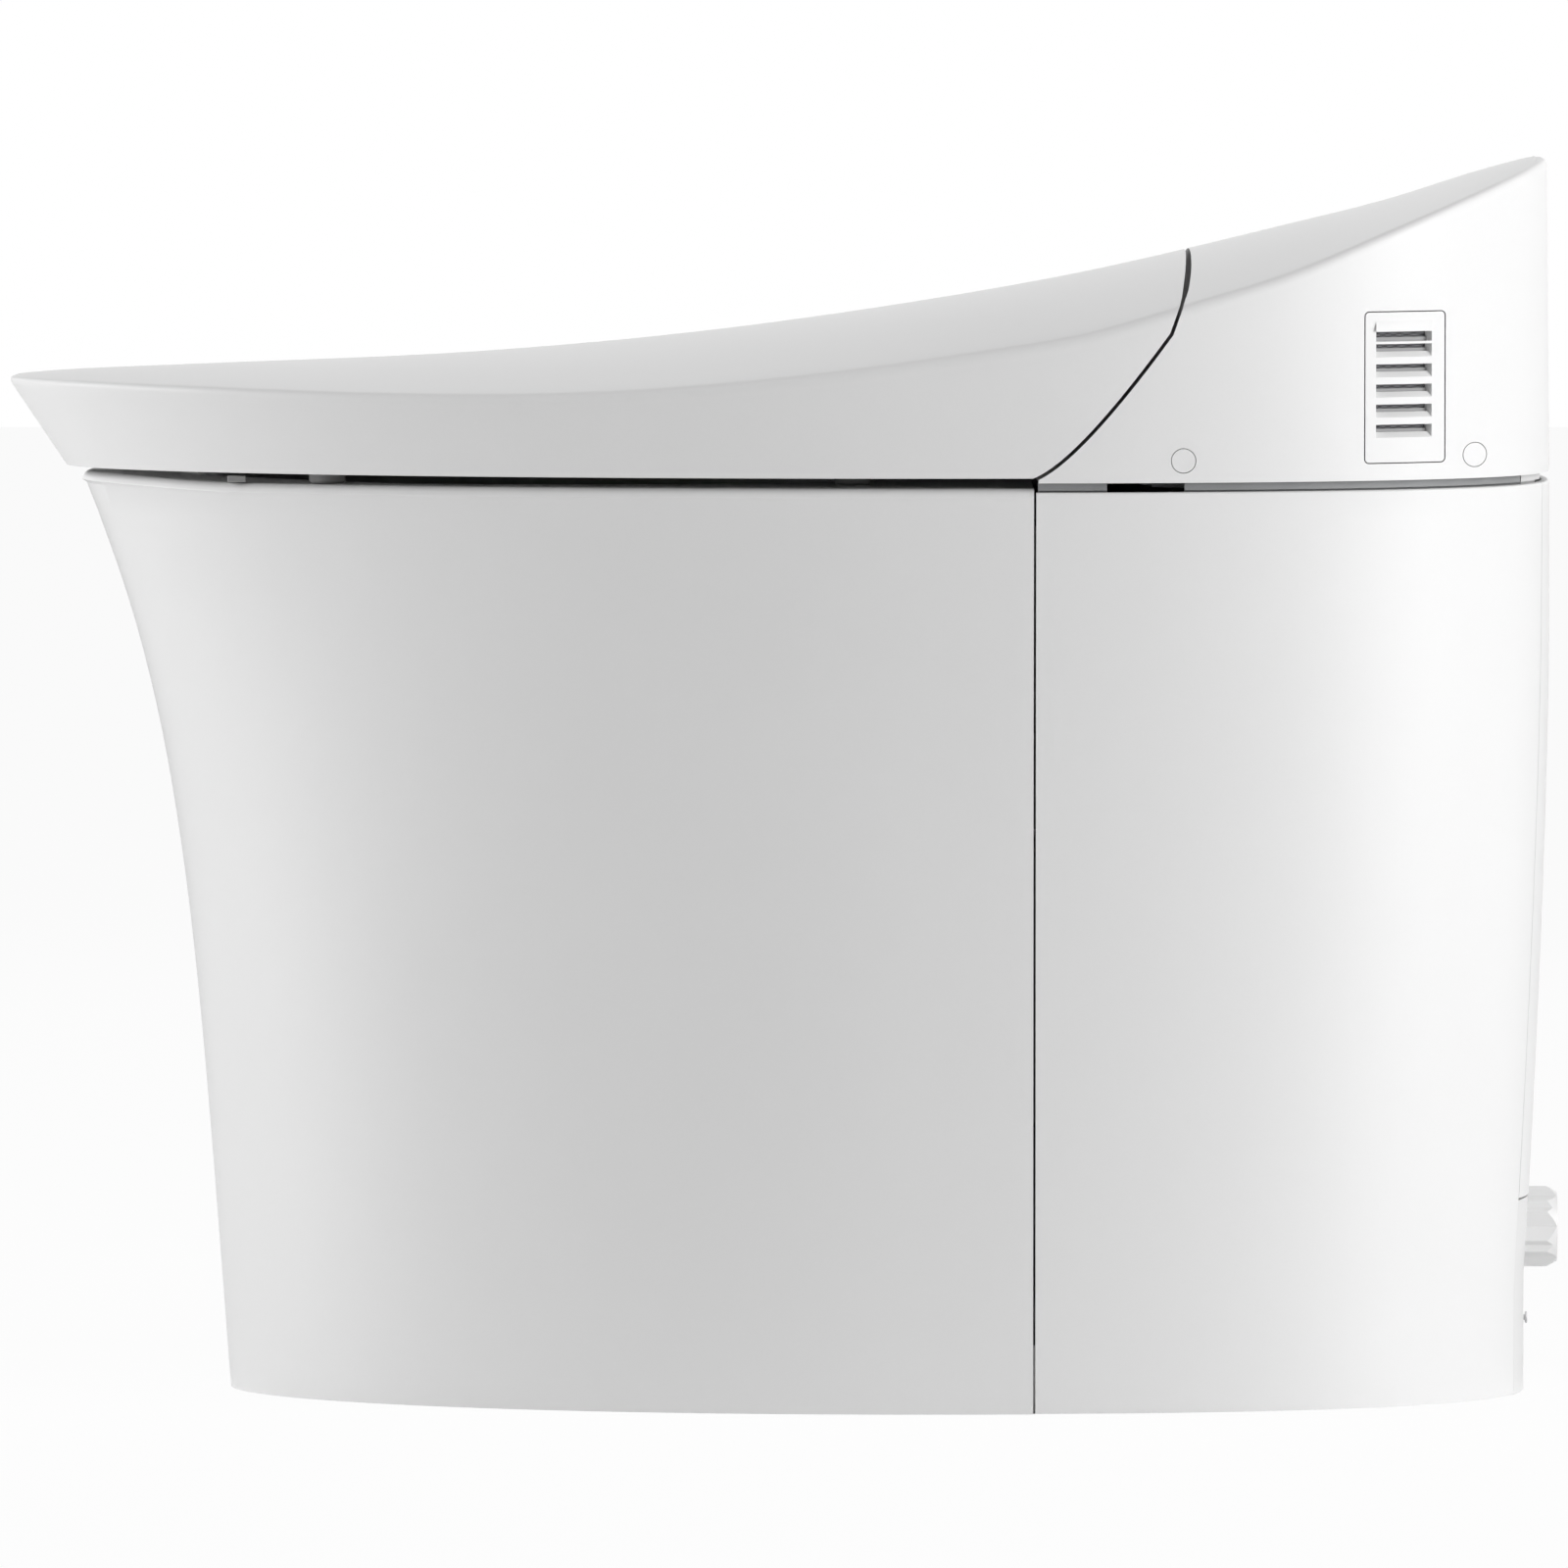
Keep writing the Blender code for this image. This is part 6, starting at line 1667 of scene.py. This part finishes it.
@dataclass
class Studio:
    """Camera, lamps, floor and background."""

    lens: float = 523.0
    sensor: float = 36.0
    camera_place: Place = (10.1, 0.0, 0.733)
    tilt: float = math.radians(2.64)
    target: Place = (0.0, 0.0, 0.3)
    world_level: float = 0.248
    floor_level: float = 0.98
    floor_reach: float = 14.0
    floor_glow: float = 0.94
    lamps: tuple[Lamp, ...] = (
        Lamp("top_box", (0.2, 0.0, 3.2), 3.0, 12.0),
        Lamp("rear_box", (1.45, 3.2, 0.9), 2.2, 94.0),
        Lamp("front_box", (0.3, -3.4, 0.8), 2.4, 85.0),
        Lamp("far_box", (-3.0, 0.4, 1.8), 2.4, 8.0),
    )

    def camera(self) -> None:
        """A long lens square to the side, a little above the middle of the toilet."""
        lens = bpy.data.cameras.new("side_camera")
        lens.lens = self.lens
        lens.sensor_width = self.sensor
        lens.dof.use_dof = False
        item = stage_object("side_camera", lens)
        item.location = self.camera_place
        item.rotation_euler = (math.pi / 2 - self.tilt, 0, math.pi / 2)
        bpy.context.scene.camera = item

    def background(self) -> None:
        """White to the camera and in reflections, and a lower even light on the toilet."""
        world = bpy.data.worlds.new("white_room")
        shader = Shader(world, "Background")
        rays = [shader.node("ShaderNodeLightPath", output="Is %s Ray" % kind)
                for kind in ("Camera", "Glossy", "Transmission")]
        seen = rays[0]
        for ray in rays[1:]:
            seen = shader.node("ShaderNodeMath", {"operation": "MAXIMUM"}, {0: seen, 1: ray})
        span = {"Value": seen, "To Min": self.world_level, "To Max": 1.0}
        level = shader.node("ShaderNodeMapRange", {}, span)
        shader.set("Color", (1, 1, 1, 1))
        shader.set("Strength", level)
        bpy.context.scene.world = world

    def floor(self) -> None:
        """A plain pale sheet that looks white and keeps part of the toilet's shadow."""
        mesh = bpy.data.meshes.new("studio_floor")
        reach = self.floor_reach
        mesh.from_pydata([(-reach, -reach, 0), (reach, -reach, 0), (reach, reach, 0), (-reach, reach, 0)], [],
                         [(0, 1, 2, 3)])
        shader = Shader(bpy.data.materials.new("pale_floor"))
        shader.set("Base Color", (self.floor_level,) * 3 + (1.0,))
        shader.set("Roughness", 1.0)
        shader.set("Specular IOR Level", 0.0)
        seen = shader.node("ShaderNodeLightPath", output="Is Camera Ray")
        glow = shader.node("ShaderNodeEmission", {}, {"Color": (1, 1, 1, 1), "Strength": 1.0})
        plain = Value(shader, shader.surface.outputs["BSDF"])
        mixed = shader.node("ShaderNodeMixShader", {}, {0: seen * self.floor_glow, 1: plain, 2: glow})
        shader.feed(shader.tree.nodes["Material Output"].inputs["Surface"], mixed)
        mesh.materials.append(shader.owner)
        stage_object("studio_floor", mesh)

    def build(self) -> None:
        """Set the whole studio up."""
        self.camera()
        for lamp in self.lamps:
            lamp.hang(self.target)
        self.background()
        self.floor()
        bpy.context.scene.view_settings.view_transform = "Standard"


def main() -> None:
    """Build the toilet piece by piece and then its studio."""
    logging.basicConfig(level=logging.INFO, format="%(name)s: %(message)s")
    painter = Painter()
    housing = RearHousing()
    parts: tuple[SubAssembly, ...] = (CeramicBase(), SidePanels(), housing, FilterUnit(housing), Lid(),
                                      SeatRing(), InletNut(), ChassisDeck(), *CARRIED)
    for part in parts:
        part.build(painter)
    Studio().build()


if __name__ == "__main__":
    main()
